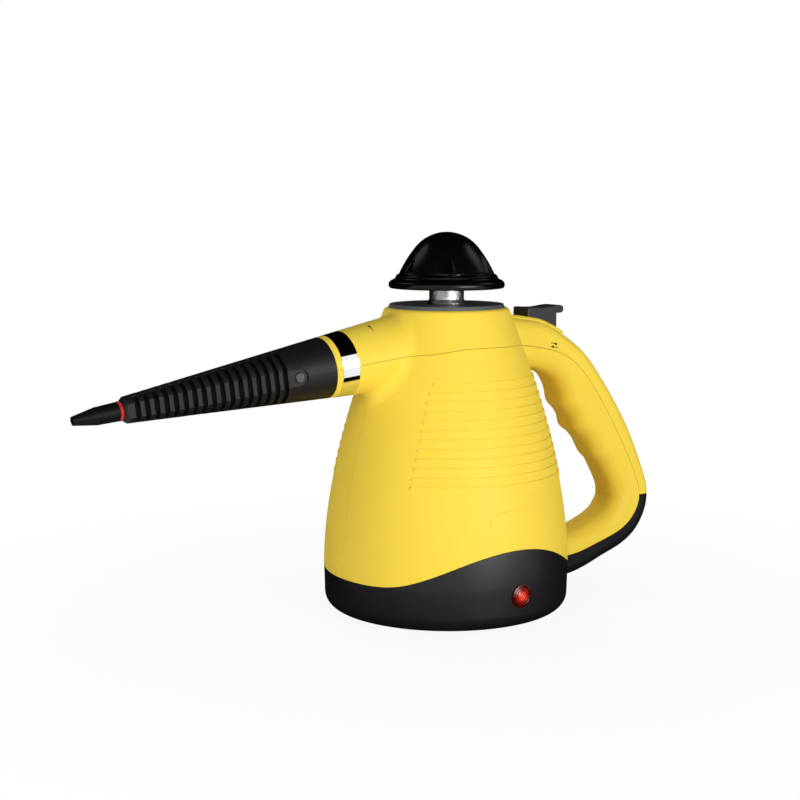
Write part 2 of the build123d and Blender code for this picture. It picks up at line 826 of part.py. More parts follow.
def valve_x():
    """Place of the steam valve along X."""
    return trigger_front + valve_setback


def valve_bracket():
    """Steel plate that carries the steam valve and the trigger's carriage."""
    length = trigger_length + 2 * wall
    middle = trigger_front + trigger_length / 2
    plate = Pos(middle, 0, plate_top - plate_thickness / 2) * Box(length, 2 * plate_half_width, plate_thickness)
    return plate - Pos(valve_x(), 0, plate_top) * Cylinder(valve_radius + fit_gap, 4 * plate_thickness)


def steam_valve():
    """Brass body of the steam valve, hung by its flange on the bracket."""
    x = valve_x()
    barrel = Pos(x, 0, (valve_low + valve_top) / 2) * Cylinder(valve_radius, valve_top - valve_low)
    flange = Pos(x, 0, plate_top + carriage_thickness / 4) * Cylinder(valve_flange_radius, carriage_thickness / 2)
    bore = Pos(x, 0, valve_top) * Cylinder(stem_radius + fit_gap, 2 * (stem_grip + trigger_travel + part_gap))
    body = barrel + flange - bore
    for side in (-1, 1):
        port = Pos(x - valve_radius, side * valve_radius / 2, (valve_low + plate_top - plate_thickness) / 2)
        body -= port * Rot(0, 90, 0) * Cylinder(tube_radius + fit_gap, valve_radius)
    return body


def valve_stem():
    """Stem of the steam valve, under the trigger."""
    high = trigger_bottom - fit_gap
    neck_top = high - stem_head_height
    stem = upright(stem_radius, valve_top - stem_grip, neck_top) + upright(stem_head_radius, neck_top, high)
    return Pos(valve_x(), 0, 0) * stem


def tube_along(points):
    """Hollow tube along straight runs joined by arcs."""
    path = FilletPolyline(*points, radius=tube_bend)
    start = Plane(path @ 0, z_dir=path % 0)
    return sweep(start * Circle(tube_radius), path=path) - sweep(start * Circle(tube_bore), path=path)


def inlet_tube():
    """Steam tube from the boiler's dome to the valve."""
    height = (valve_low + plate_top - plate_thickness) / 2
    foot = outlet_place().position
    return tube_along([(foot.X, foot.Y, boiler_crown + fit_gap), (foot.X, foot.Y, height),
                       (valve_x() - valve_radius - fit_gap, foot.Y, height)])


def outlet_tube():
    """Steam tube from the valve round the filler neck to the spout pipe."""
    height = (valve_low + plate_top - plate_thickness) / 2
    side = -valve_radius / 2
    around = neck_foot_radius + 2 * tube_radius + part_gap
    start = spout.from_local_coords(Vector(0, 0, neck_root))
    before = spout.from_local_coords(Vector(0, 0, neck_foot_radius + 2 * tube_radius))
    return tube_along([(valve_x() - valve_radius - fit_gap, side, height), (neck_foot_radius * 3, side, height),
                       (neck_foot_radius, -around, height + tube_radius), (-tube_bend, -around, before.Z),
                       (before.X, 0, before.Z), (start.X, 0, start.Z)])


def spout_pipe():
    """Steam pipe in the neck, on the nozzle axis."""
    end = sleeve_start + socket_depth - sleeve_wall
    low = neck_root + part_gap
    return on_spout(turned_outline((tube_bore, low), (pipe_radius, low), (pipe_radius, end), (tube_bore, end)))


def spout_holder():
    """Plastic core that closes the neck, carries the pipe and ends in the nozzle's nose."""
    back = band_start - band_width
    front = sleeve_start + socket_depth - 2 * sleeve_wall
    web = sleeve_start - part_gap - wall
    outer_low = cone_radius(back) - wall - fit_gap
    outer_high = cone_radius(web + wall) - wall - fit_gap
    bore = pipe_radius + fit_gap
    core = turned_outline((bore, web), (bore, front), (nose_radius, front), (nose_radius, web + wall),
                          (outer_high, web + wall), (outer_low, back), (outer_low - wall, back),
                          (outer_high - wall, web))
    for angle in (0, 180):
        lug = Pos(nose_radius, 0, front - sleeve_wall) * Box(sleeve_wall, 2 * sleeve_wall, sleeve_wall)
        core += Rot(0, 0, angle) * lug
    return on_spout(core)


def chrome_band():
    """Bright band in the neck's groove."""
    low, high = band_start, band_start + band_width
    gap = fit_gap
    return on_spout(turned_outline((cone_radius(low) - band_thickness + gap, low), (cone_radius(low), low),
                                   (cone_radius(high), high), (cone_radius(high) - band_thickness + gap, high)))


def bayonet_ring():
    """Locking ring round the nose, turned by the sleeve."""
    low = sleeve_start + part_gap
    high = sleeve_start + socket_depth - 4 * sleeve_wall
    bore = nose_radius + part_gap
    rim = cavity_radius(high) - part_gap
    return on_spout(turned_outline((bore, low), (rim, low), (rim, high), (bore, high)))


def cavity_radius(distance):
    """Radius of the sleeve's hollow: one wall thin in the socket, deeper under the grooves."""
    if distance <= sleeve_start + socket_depth:
        return cone_radius(distance) - sleeve_wall
    return cone_radius(distance) - sleeve_wall - groove_depth


def groove_centres():
    """Distances of the sleeve's grooves along the nozzle axis, from the front land backwards."""
    first = sleeve_end - front_land - groove_width / 2
    return [first - index * rib_pitch for index in range(rib_count)]


def strip_plane():
    """Plane of the flat strip on the sleeve's side, at the button, with x towards the tip."""
    distance = sleeve_start + button_setback
    depth = cone_radius(distance) - strip_depth
    return Plane(origin=(depth, 0, distance), x_dir=(-cone_taper, 0, 1), z_dir=(1, 0, cone_taper))


def nozzle_sleeve():
    """Black sleeve: cone with grooves between two plain spines, and a flat strip with the button."""
    rear, front = sleeve_start, sleeve_end
    corner = front - sleeve_chamfer
    cone = turned_outline((0, rear), (sleeve_rear_radius, rear), (sleeve_front_radius, corner),
                          (sleeve_front_radius - sleeve_chamfer * 0.85, front), (0, front))
    rings = Part()
    for distance in groove_centres():
        low, high = distance - groove_width / 2, distance + groove_width / 2
        floor = cone_radius(distance) - groove_depth
        rings += turned_outline((floor, low), (floor + overrun, low), (floor + overrun, high), (floor, high))
    spine = Box(2 * spine_half_width, 4 * sleeve_rear_radius, 2 * (front + overrun))
    cone -= rings - spine
    strip = SlotOverall(2 * sleeve_length, 2 * strip_half_width)
    strip = Pos(sleeve_length - strip_half_width, 0) * strip
    cone -= extrude(strip_plane() * strip, amount=overrun)
    socket_end = rear + socket_depth
    cavity_end = front - 2 * front_land
    cavity = turned_outline((0, rear - overrun), (cavity_radius(rear), rear - overrun), (cavity_radius(rear), rear),
                            (cavity_radius(socket_end), socket_end),
                            (cavity_radius(socket_end + part_gap), socket_end + part_gap),
                            (cavity_radius(cavity_end), cavity_end), (pipe_radius + fit_gap, cavity_end),
                            (pipe_radius + fit_gap, front + overrun), (0, front + overrun))
    cone -= cavity
    cone -= strip_plane() * Cylinder(button_radius + fit_gap, 4 * sleeve_wall)
    return on_spout(cone)


def release_button():
    """Round push button with a flange inside the sleeve's wall."""
    place = sleeve_start + button_setback
    hollow = cavity_radius(place + button_radius + button_flange)
    inner = math.sqrt(hollow ** 2 - (button_radius + button_flange) ** 2) - part_gap
    drop = inner - (cone_radius(place) - strip_depth)
    pin = extrude(Circle(button_radius), amount=button_stand)
    pin = fillet(pin.edges().sort_by(Axis.Z)[-1], button_stand / 2)
    pin += Pos(0, 0, drop / 2) * Cylinder(button_radius, -drop)
    pin += Pos(0, 0, drop - button_flange / 2) * Cylinder(button_radius + button_flange, button_flange)
    return on_spout(strip_plane() * pin)


def nozzle_pipe():
    """Inner pipe of the sleeve, from its web to the tip."""
    web_low = sleeve_start + socket_depth + part_gap
    web_high = web_low + sleeve_wall
    end = sleeve_end + oring_thickness + part_gap + tip_seat
    rim = cavity_radius(web_high) - part_gap
    button_clear = sleeve_start + button_setback - button_radius - 2 * button_flange - part_gap
    web_high = min(web_high, button_clear)
    return on_spout(turned_outline((pipe_bore, web_low), (rim, web_low), (rim, web_high), (pipe_radius, web_high),
                                   (pipe_radius, end), (pipe_bore, end)))


def tip_oring():
    """Red sealing ring between the sleeve and the tip."""
    tube = oring_thickness / 2
    return on_spout(Pos(0, 0, sleeve_end + tube + fit_gap) * Torus(pipe_radius + tube + fit_gap, tube))


def tip_nozzle():
    """Small black tip: a stub that narrows to its outlet."""
    low = sleeve_end + oring_thickness + part_gap
    end = low + tip_length
    seat = low + tip_seat + part_gap
    return on_spout(turned_outline((pipe_radius + fit_gap, low), (tip_radius, low),
                                   (tip_shoulder_radius, end - tip_cone), (tip_end_radius, end),
                                   (tip_outlet, end), (tip_outlet, seat), (pipe_radius + fit_gap, seat)))


def trigger():
    """Thumb trigger with a dished top and a rolled lip at the rear."""
    low, top = trigger_bottom, trigger_top
    front, rear = trigger_front, trigger_front + trigger_length
    crest = top + trigger_lip_rise
    roll = (rear + trigger_lip - trigger_lip_round, crest - trigger_lip_round)
    under = roll[1] - trigger_lip_round
    round_front = trigger_lip_round / 2
    saddle = Spline((front + round_front, top), ((front + rear) / 2, top - trigger_dish), (roll[0], crest),
                    tangents=[(1, 0), (1, 0)])
    edges = [Line((front, low), (front, top - round_front)),
             RadiusArc((front, top - round_front), (front + round_front, top), round_front),
             saddle,
             ThreePointArc((roll[0], crest), (roll[0] + trigger_lip_round, roll[1]), (roll[0], under)),
             Line((roll[0], under), (rear, under)),
             Line((rear, under), (rear, low)),
             Line((rear, low), (front, low))]
    key = extrude(Plane.XZ * make_face(Curve() + edges), amount=trigger_width / 2, both=True)
    sharp = [e for e in key.edges() if abs(abs(e.center().Y) - trigger_width / 2) < fit_gap
             and e.center().Z > under]
    key = fillet(sharp, trigger_edge_round)
    pocket = Pos(front + trigger_spring_setback, 0, low) * Cylinder(pocket_radius, 2 * pocket_depth)
    return key - pocket


def trigger_carriage():
    """Sliding carriage on the bracket, with two arms beside the trigger."""
    low = plate_top + fit_gap
    length = trigger_length - lock_travel
    width = trigger_width + 2 * (guide_gap + arm_thickness)
    plate = Pos(trigger_front + length / 2, 0, low + carriage_thickness / 2) * Box(length, width,
                                                                                  carriage_thickness)
    room = 2 * (valve_flange_radius + lock_travel + part_gap)
    plate -= Pos(valve_x(), 0, low) * Box(room, 2 * (valve_flange_radius + part_gap), 4 * carriage_thickness)
    arm_height = trigger_bottom + trigger_travel / 2 - low
    for side in (-1, 1):
        y = side * (trigger_width / 2 + guide_gap + arm_thickness / 2)
        arm = Pos(trigger_front + arm_length / 2, y, low + arm_height / 2)
        plate += arm * Box(arm_length, arm_thickness, arm_height)
    return plate


def trigger_spring():
    """Return spring between the carriage and the trigger's pocket."""
    low = plate_top + fit_gap + carriage_thickness
    high = trigger_bottom + pocket_depth
    return helix_spring(trigger_spring_radius, trigger_spring_wire, trigger_spring_turns, low, high,
                        (trigger_front + trigger_spring_setback, 0))


def cap_ceiling():
    """Height of the flat ceiling inside the knob."""
    return cap_rim_low + (cap_top - cap_rim_low) * cap_cavity_shares[-1][1]


def flute(turn):
    """Depth share of the cap's flutes at a turn: 0 on the crest of a narrow ridge, 1 in the middle of a flute."""
    wave = math.sin(math.radians(turn * cap_flute_count / 2)) ** 2
    crest = cap_ridge_share ** 2
    return wave / (wave + crest) * (1 + crest)


def fluted_section(radius, height):
    """Closed section of the cap's dome from its ridges' radius; the flutes fade out as that gets small."""
    over = radius - cap_flute_radius
    depth = (math.hypot(over, cap_flute_fade) + over) / 2
    count = cap_flute_count * cap_flute_samples
    points = []
    for index in range(count):
        turn = 360 * index / count
        points.append(Vector(radius - depth * flute(turn), 0, height).rotate(Axis.Z, turn))
    return Face(Wire([Edge.make_spline(points, periodic=True)]))


def cap_dome():
    """Fluted dome of the knob: its ridges follow radius = sqrt(1 - height ** power), as shares."""
    low = cap_rim_low + cap_flange_height
    sections = [fluted_section(cap_dome_radius, low - cap_dome_root)]
    for index in range(cap_sections + 1):
        turn = math.radians(cap_dome_turn * index / cap_sections)
        share = math.sin(turn) ** (2 / cap_dome_power)
        sections.append(fluted_section(cap_dome_radius * math.cos(turn), low + (cap_top - low) * share))
    return loft(sections)


def cap_knob():
    """Glossy knob: a fluted dome on a rolled rim, hollow below."""
    rim_width = cap_rim_low + cap_rim_rise
    flange_top = cap_rim_low + cap_flange_height
    corner = cap_rim_radius - cap_rim_rise
    roll = [(cap_rim_radius, rim_width)]
    for r, z in cap_rim_shares:
        roll.append((cap_flange_radius + (cap_rim_radius - cap_flange_radius) * r,
                     rim_width + (flange_top - rim_width) * z))
    roll.append((cap_flange_radius, flange_top - cap_wall / 5))
    ledge = (cap_flange_radius - cap_wall / 5, flange_top)
    rim = turned(Line((0, cap_rim_low), (corner, cap_rim_low)),
                 RadiusArc((corner, cap_rim_low), (cap_rim_radius, rim_width), -cap_rim_rise),
                 Spline(roll, tangents=[(0, 1), (0, 1)]),
                 RadiusArc(roll[-1], ledge, -cap_wall / 5),
                 Polyline(ledge, (cap_cavity_radius, cap_rim_low + cap_ledge_height),
                          (0, cap_rim_low + cap_ledge_height), (0, cap_rim_low)))
    knob = cap_dome() + rim
    rise = cap_top - cap_rim_low
    inside = [(cap_cavity_radius * r, cap_rim_low + rise * z) for r, z in cap_cavity_shares]
    knob -= turned(Line((0, cap_rim_low - overrun), (cap_cavity_radius, cap_rim_low - overrun)),
                   Line((cap_cavity_radius, cap_rim_low - overrun), inside[0]),
                   Spline(inside, tangents=[(0, 1), (-1, 0)]),
                   Line(inside[-1], (0, cap_ceiling())),
                   Line((0, cap_ceiling()), (0, cap_rim_low - overrun)))
    guide_low = driver_low() + driver_height + cap_travel + part_gap
    guide = upright(driver_hub_radius + fit_gap + guide_wall, guide_low, cap_ceiling() + cap_wall / 2)
    knob += guide - upright(driver_hub_radius + fit_gap, guide_low, cap_ceiling())
    channel_in = cap_cavity_radius + cap_wall
    channel_out = cap_rim_radius - cap_wall
    knob -= turned_outline((channel_in, cap_rim_low - overrun), (channel_out, cap_rim_low - overrun),
                           (channel_out, cap_rim_low + cap_rim_channel), (channel_in, cap_rim_low + cap_rim_channel))
    return knob


def insert_low():
    """Underside of the cap insert's flange."""
    return neck_height + seal_thickness + fit_gap


def cap_insert():
    """Threaded brass plug of the cap, in the filler neck."""
    low = insert_low()
    core = neck_bore - thread_depth - fit_gap
    end = neck_height - plug_length
    insert = turned_outline((0, low), (0, low + insert_flange_height),
                            (insert_flange_radius, low + insert_flange_height), (insert_flange_radius, low))
    insert += turned_outline((0, end), (core, end), (core, low), (0, low))
    pitch = plug_length / (thread_turns + 1)
    for turn in range(1, thread_turns + 1):
        z = end + turn * pitch
        insert += turned_outline((0, z - pitch / 4), (core, z - pitch / 4), (core + thread_depth, z),
                                 (core, z + pitch / 4), (0, z + pitch / 4))
    return insert - Pos(0, 0, end) * Cylinder(relief_radius + part_gap, 2 * relief_height)


def cap_seal():
    """Dark red ring between the insert's flange and the filler neck."""
    low = neck_height + fit_gap / 2
    bore = neck_bore
    return turned_outline((bore, low), (seal_radius, low), (seal_radius, low + seal_thickness),
                          (bore, low + seal_thickness))


def relief_valve():
    """Small relief valve in the insert's end."""
    end = neck_height - plug_length
    top = end + relief_height - part_gap / 2
    return turned_outline((0, end - relief_height / 2), (relief_radius / 2, end - relief_height / 2),
                          (relief_radius, end), (relief_radius, top), (0, top))


def driver_low():
    """Underside of the cap's driver."""
    return insert_low() + insert_flange_height + fit_gap


def cap_driver():
    """Toothed disc that turns the insert when the knob is pressed."""
    low = driver_low()
    disc = Pos(0, 0, low + driver_height / 2) * Cylinder(driver_radius, driver_height)
    for index in range(cap_flute_count):
        notch = Pos(driver_radius, 0, low + driver_height) * Box(driver_height, driver_height, driver_height)
        disc -= Rot(0, 0, index * 360 / cap_flute_count) * notch
    hub_middle = low + driver_height + driver_hub_height / 2
    return disc + Pos(0, 0, hub_middle) * Cylinder(driver_hub_radius, driver_hub_height)


def cap_spring():
    """Spring that lifts the knob off the driver."""
    low = driver_low() + driver_height
    return helix_spring(cap_spring_radius, cap_spring_wire, cap_spring_turns, low, cap_ceiling(), (0, 0))


def write(name, solid):
    """Write one piece to its file."""
    export_step(Compound(solid.solids()), os.path.join("parts", name + ".step"))


def main():
    os.makedirs("parts", exist_ok=True)
    cover, lower, base = housing()
    write("top_cover", cover)
    write("body_left", body_half(lower, -1))
    write("body_right", body_half(lower, 1))
    write("base_cup", base)
    pieces = {
        "base_screws": base_screws, "cover_screws": cover_screws, "collar_ring": collar,
        "boiler_lower": boiler_pot, "boiler_upper": boiler_dome, "filler_neck": filler_neck, "boiler_gasket": gasket,
        "boiler_screws": flange_screws,
        "heating_element": heater, "thermostat": thermostat, "thermal_fuse": thermal_fuse,
        "indicator_lens": indicator_lens, "indicator_lamp": indicator_lamp,
        "cord_gland": cord_gland, "terminal_block": terminal_block, "valve_bracket": valve_bracket,
        "steam_valve_body": steam_valve, "valve_stem": valve_stem, "inlet_tube": inlet_tube,
        "outlet_tube": outlet_tube, "spout_pipe": spout_pipe, "spout_holder": spout_holder,
        "chrome_band": chrome_band, "bayonet_ring": bayonet_ring, "nozzle_sleeve": nozzle_sleeve,
        "release_button": release_button, "nozzle_pipe": nozzle_pipe, "tip_oring": tip_oring,
        "tip_nozzle": tip_nozzle, "trigger": trigger, "trigger_carriage": trigger_carriage,
        "trigger_spring": trigger_spring, "cap_knob": cap_knob, "cap_insert": cap_insert,
        "cap_seal": cap_seal, "cap_relief_valve": relief_valve, "cap_driver": cap_driver,
        "cap_spring": cap_spring,
    }
    for name, make in pieces.items():
        write(name, make())


main()
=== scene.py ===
"""Finishes and studio for a handheld steam cleaner: yellow bell body, black base, ribbed nozzle and cap."""

import math

import bpy
import numpy as np
from bpy.props import FloatProperty, FloatVectorProperty, PointerProperty
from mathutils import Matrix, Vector


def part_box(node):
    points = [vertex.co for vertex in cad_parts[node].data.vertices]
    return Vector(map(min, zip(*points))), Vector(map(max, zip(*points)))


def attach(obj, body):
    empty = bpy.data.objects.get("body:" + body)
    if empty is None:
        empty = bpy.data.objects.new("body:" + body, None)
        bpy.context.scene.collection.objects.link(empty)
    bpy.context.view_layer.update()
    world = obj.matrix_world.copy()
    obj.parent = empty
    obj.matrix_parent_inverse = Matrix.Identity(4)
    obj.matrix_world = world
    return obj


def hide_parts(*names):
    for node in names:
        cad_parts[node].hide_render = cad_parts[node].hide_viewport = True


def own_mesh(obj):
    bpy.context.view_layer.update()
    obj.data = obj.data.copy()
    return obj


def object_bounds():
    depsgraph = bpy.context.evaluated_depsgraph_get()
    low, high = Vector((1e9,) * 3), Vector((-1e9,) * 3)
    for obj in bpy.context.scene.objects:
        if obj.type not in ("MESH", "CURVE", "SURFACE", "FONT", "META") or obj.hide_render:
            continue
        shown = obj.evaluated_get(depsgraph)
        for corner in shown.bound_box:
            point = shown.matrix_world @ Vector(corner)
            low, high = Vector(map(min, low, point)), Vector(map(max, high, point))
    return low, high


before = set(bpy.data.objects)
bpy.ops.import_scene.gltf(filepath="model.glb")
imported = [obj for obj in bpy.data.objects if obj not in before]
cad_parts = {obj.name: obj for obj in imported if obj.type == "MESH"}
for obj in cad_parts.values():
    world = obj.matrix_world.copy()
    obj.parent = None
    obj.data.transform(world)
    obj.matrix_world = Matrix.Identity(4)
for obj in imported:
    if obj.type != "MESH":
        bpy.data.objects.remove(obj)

bl_info = {
    "name": "Handheld Steam Cleaner Finishes",
    "version": (1, 0, 0),
    "blender": (4, 5, 0),
    "location": "View3D > Sidebar > Steam Cleaner",
    "description": "Moulded, rubbery, plated and cast finishes, printed marks and a studio",
    "category": "Object",
}

MM = 0.001
CAD_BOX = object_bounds()

# Nozzle axis: height where it leaves the body's axis, and its drop
SPOUT_HEIGHT = 162.6 * MM
SPOUT_DROP = math.radians(7.05)

# Sleeve along that axis: radius and taper of its cone, and the middles of its last and first groove
SLEEVE_START = 90.0 * MM
SLEEVE_RADIUS = 17.9 * MM
SLEEVE_TAPER = 0.0852
GROOVE_LAST = 121.57 * MM
GROOVE_FIRST = 208.45 * MM
GROOVE_PITCH = 5.43 * MM
GROOVE_HALF_WIDTH = 1.35 * MM

# Painted shade in the sleeve's grooves, a darker colour standing in for their shade: depths where it starts
# and is full, and the groove's half widths off its middle where it ends, and past which the outer grooves
# have none
GROOVE_SHADE_START_DEPTH = 0.1 * MM
GROOVE_SHADE_FULL_DEPTH = 0.4 * MM
GROOVE_SHADE_END_HALF_WIDTHS = 1.25
GROOVE_SHADE_PAST_ROW_HALF_WIDTHS = 1.5

# Grids: edge angle that stays sharp, rows along a coil's turn and columns round its wire
SHARP_ANGLE = math.radians(40)
COIL_ROWS_PER_TURN = 36
WIRE_COLUMNS = 12

# Springs: turns and wire of the cap's and the trigger's
CAP_SPRING_TURNS = 4
CAP_SPRING_WIRE = 0.9 * MM
TRIGGER_SPRING_TURNS = 6
TRIGGER_SPRING_WIRE = 0.7 * MM

# Knob: half sections of its outside and its hollow, as shares of its radius and height
KNOB_OUTSIDE_SHARES = [(0.008, 1.000), (0.085, 1.000), (0.215, 0.968), (0.345, 0.911), (0.459, 0.825),
                       (0.550, 0.719), (0.629, 0.607), (0.697, 0.500), (0.748, 0.405), (0.788, 0.325),
                       (0.810, 0.278), (0.819, 0.251), (0.856, 0.240), (0.873, 0.216), (0.881, 0.183),
                       (0.904, 0.160), (0.946, 0.145), (0.989, 0.115), (1.003, 0.059), (0.986, 0.000),
                       (0.943, 0.000)]
KNOB_HOLLOW_SHARES = [(0.926, 0.0), (0.926, 0.077), (0.654, 0.077), (0.654, 0.0), (0.581, 0.0),
                      (0.575, 0.15), (0.549, 0.30), (0.499, 0.42), (0.410, 0.60), (0.290, 0.76),
                      (0.161, 0.76), (0.161, 0.31), (0.1156, 0.31), (0.1156, 0.76), (0.009, 0.76)]
KNOB_STEPS_PER_SPAN = 8
KNOB_COLUMNS = 240

# Knob's ridges: number, width of the crest at the top and at the foot, and height shares where they change
KNOB_RIDGES = 6
CREST_TOP_WIDTH = 0.08
CREST_FOOT_WIDTH = 0.26
CREST_NARROWING_SHARES = (0.24, 0.60)
RIDGE_FOOT_SHARES = (0.235, 0.285)
RIDGE_FADING_SHARES = (0.22, 0.70)

# Printed arrow: points along it, start of the head, half width of the head and of the point in strokes
ARROW_POINTS = 10
ARROW_HEAD_START_SHARE = 0.62
ARROW_HEAD_STROKES = 2.1
ARROW_POINT_STROKES = 0.05
ARROW_SLOPE = math.radians(-12)

# Camera: place on the floor plan, turn round the upright axis, look down, sensor and lens in millimetres
CAMERA_X = -0.5397
CAMERA_Y = -0.7439
CAMERA_TURN = math.radians(-34.2)
CAMERA_DROP = math.radians(7.4)
CAMERA_SENSOR = 36.0
CAMERA_LENS = 68.1

# Lamps: name, place, width, height, watts, and whether a gloss shows it; the gleams are for the knob's flanks
LAMP_TARGET = (0.0, 0.0, 0.12)
LAMPS = [
    ("key_box", (0.12, -1.28, 0.3), 0.8, 0.5, 11.5, True),
    ("left_box", (-1.2, -0.45, 0.3), 0.6, 0.5, 7.5, False),
    ("right_box", (1.25, -0.4, 0.3), 0.7, 0.5, 1.0, False),
    ("back_box", (0.3, 1.2, 0.5), 0.9, 0.7, 9.0, False),
    ("top_box", (0.0, 0.1, 1.3), 0.9, 0.9, 1.5, False),
    ("gleam_right", (0.515, -0.148, 0.67), 0.25, 0.25, 0.22, True),
    ("gleam_left", (-0.30, 0.444, 0.67), 0.25, 0.25, 0.18, True),
]

# Velvet cards: name, place to the right, beyond and above as the camera sees it, tilt, turn, width, height
UPRIGHT = math.pi / 2
VELVET_CARDS = [
    ("card_floor", (0.0, 0.8, 0.001), 0.0, 0.0, 3.2, 1.68),
    ("card_foot", (0.0, -0.08, 0.001), 0.0, 0.0, 0.34, 0.12),
    ("card_behind", (0.0, 1.6, 0.5), UPRIGHT, 0.0, 3.2, 1.0),
    ("card_left", (-1.0, 0.5, 0.5), UPRIGHT, UPRIGHT, 1.6, 1.0),
    ("card_right", (1.0, 0.5, 0.5), UPRIGHT, UPRIGHT, 1.6, 1.0),
    ("card_above", (0.0, 0.85, 0.9), 0.0, 0.0, 3.2, 3.1),
]

# Paper floor: size, drop, spacing and tones of its pulp, distances from the middle where its glow grows and
# is full, and the glow's share at the first
FLOOR_SIZE = 12.0
FLOOR_DROP = 0.05 * MM
PULP_SPACING = 20 * MM
PULP_DARK = (0.86, 0.86, 0.86, 1.0)
PULP_LIGHT = (0.88, 0.88, 0.88, 1.0)
GLOW_START = 0.1
GLOW_FULL = 0.42
GLOW_START_SHARE = 0.92

# World: how strongly it fills the object's shades, and its colour
WORLD_FILL = 0.06
WHITE = (1.0, 1.0, 1.0, 1.0)

# Moulded skins: spacing of the patches in which their gloss drifts
GLOSS_PATCH = 24 * MM

# Lens, with its lamp's light painted into its colour: share of the brightness in a ring's furrow,
# share of the red at the rim as painted shade, glow at rim and middle
FURROW_PAINTED_SHADE_SHARE = 0.72
RIM_PAINTED_SHADE_SHARE = 0.12
RIM_GLOW = 0.02
MIDDLE_GLOW = 0.4


def linear(hex_colour):
    """Linear colour with alpha from an sRGB hex value, f4d553 say: a straight foot, then a power of 2.4."""
    channels = []
    for start in (0, 2, 4):
        value = int(hex_colour[start:start + 2], 16) / 255
        channels.append(value / 12.92 if value <= 0.04045 else ((value + 0.055) / 1.055) ** 2.4)
    return (*channels, 1.0)


def darker(colour, share):
    """The colour scaled towards black."""
    return (*(channel * share for channel in colour[:3]), 1.0)


def colour_property(name, description, hex_colour):
    """Colour property whose default is an sRGB hex value."""
    return FloatVectorProperty(name=name, description=description, subtype="COLOR", size=4, min=0.0,
                               max=1.0, default=linear(hex_colour))


def length_property(name, description, millimetres):
    """Length property whose default is in millimetres."""
    return FloatProperty(name=name, description=description, unit="LENGTH", default=millimetres * MM,
                         precision=5)


class CleanerColours(bpy.types.PropertyGroup):
    """Colours of the cleaner's finishes"""

    shell: colour_property("Shell", "Yellow of the moulded body", "f6d64a")
    base: colour_property("Base", "Black of the base cup", "18181b")
    sleeve: colour_property("Sleeve", "Black of the nozzle's sleeve", "161618")
    tip: colour_property("Tip", "Black of the small tip", "0a0a0b")
    cap: colour_property("Cap", "Polished black of the cap", "060608")
    trigger: colour_property("Trigger", "Black of the trigger and button", "38383a")
    collar: colour_property("Collar", "Grey of the disc under the cap", "55585b")
    band: colour_property("Band", "Plating of the nozzle's band", "f2f2f4")
    ring: colour_property("Ring", "Red of the tip's seal", "b8221c")
    lens: colour_property("Lens", "Red of the indicator", "a3190f")
    # Painted light: the lens's red where its lamp lights it, painted into its colour.
    lens_painted_light: colour_property("Lens middle", "Red of the indicator over its lamp", "ee5530")
    ink: colour_property("Ink", "Dark ink of the printed marks", "33301f")


class CleanerSizes(bpy.types.PropertyGroup):
    """Sizes of the finishes' details"""

    shell_grain: length_property("Shell grain", "Spacing of the shell's fine spark-eroded texture", 0.9)
    sleeve_grain: length_property("Sleeve grain", "Spacing of the sleeve's matt texture", 0.7)
    knob_ridge: length_property("Knob ridge", "Height of the knob's ridges over its flutes, at their foot",
                                2.6)
    lens_ring: length_property("Lens ring", "Spacing of the prism rings in the indicator's lens", 1.7)
    arrow_length: length_property("Arrow length", "Length of the printed arrows", 6.0)
    arrow_stroke: length_property("Arrow stroke", "Width of a printed arrow's shaft", 0.5)
    arrow_gap: length_property("Arrow gap", "Distance between the pair of arrows", 2.2)
    arrow_x: length_property("Arrow X", "Place of the arrows' middle along the body", 72.7)
    arrow_z: length_property("Arrow Z", "Height of the arrows' middle", 157.4)
    neck_arrow_x: length_property("Neck arrow X", "Place of the neck's arrow along the body", -60.4)
    neck_arrow_y: length_property("Neck arrow Y", "Place of the neck's arrow off the plane of symmetry",
                                  -8.0)
    ink_lift: length_property("Ink lift", "Thickness of the printed ink", 0.04)
    camera_height: length_property("Camera height", "Height of the camera over the floor", 245.7)


def add(tree, kind, options=None, values=None, links=None):
    """Add a node, set its options and socket values, and link other nodes' outputs to its sockets."""
    node = tree.nodes.new(kind)
    for name, value in (options or {}).items():
        setattr(node, name, value)
    for name, value in (values or {}).items():
        node.inputs[name].default_value = value
    for name, source in (links or {}).items():
        tree.links.new(source, node.inputs[name])
    return node


def blank_tree(owner):
    """Empty node tree of a material or a world."""
    owner.use_nodes = True
    owner.node_tree.nodes.clear()
    return owner.node_tree


def new_material(name):
    """Material with only a principled shader and its output, and the object's own coordinates."""
    material = bpy.data.materials.new(name)
    tree = blank_tree(material)
    shader = add(tree, "ShaderNodeBsdfPrincipled")
    add(tree, "ShaderNodeOutputMaterial", links={"Surface": shader.outputs["BSDF"]})
    place = add(tree, "ShaderNodeTexCoord").outputs["Object"]
    return material, tree, shader, place


def set_shader(shader, values):
    """Set the shader's own sockets to constant values."""
    for name, value in values.items():
        shader.inputs[name].default_value = value


def assign(material, *names):
    """Give these CAD nodes this material alone."""
    for name in names:
        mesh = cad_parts[name].data
        mesh.materials.clear()
        mesh.materials.append(material)


def tinted(tree, shader, place, spacing, colour, other):
    """Base colour that drifts between two close colours, in patches about the spacing apart."""
    patches = add(tree, "ShaderNodeTexNoise", values={"Scale": 1 / spacing, "Detail": 2.0},
                  links={"Vector": place})
    mix = add(tree, "ShaderNodeMix", {"data_type": "RGBA"}, {"A": colour, "B": other},
              {"Factor": patches.outputs["Fac"]})
    tree.links.new(mix.outputs["Result"], shader.inputs["Base Color"])


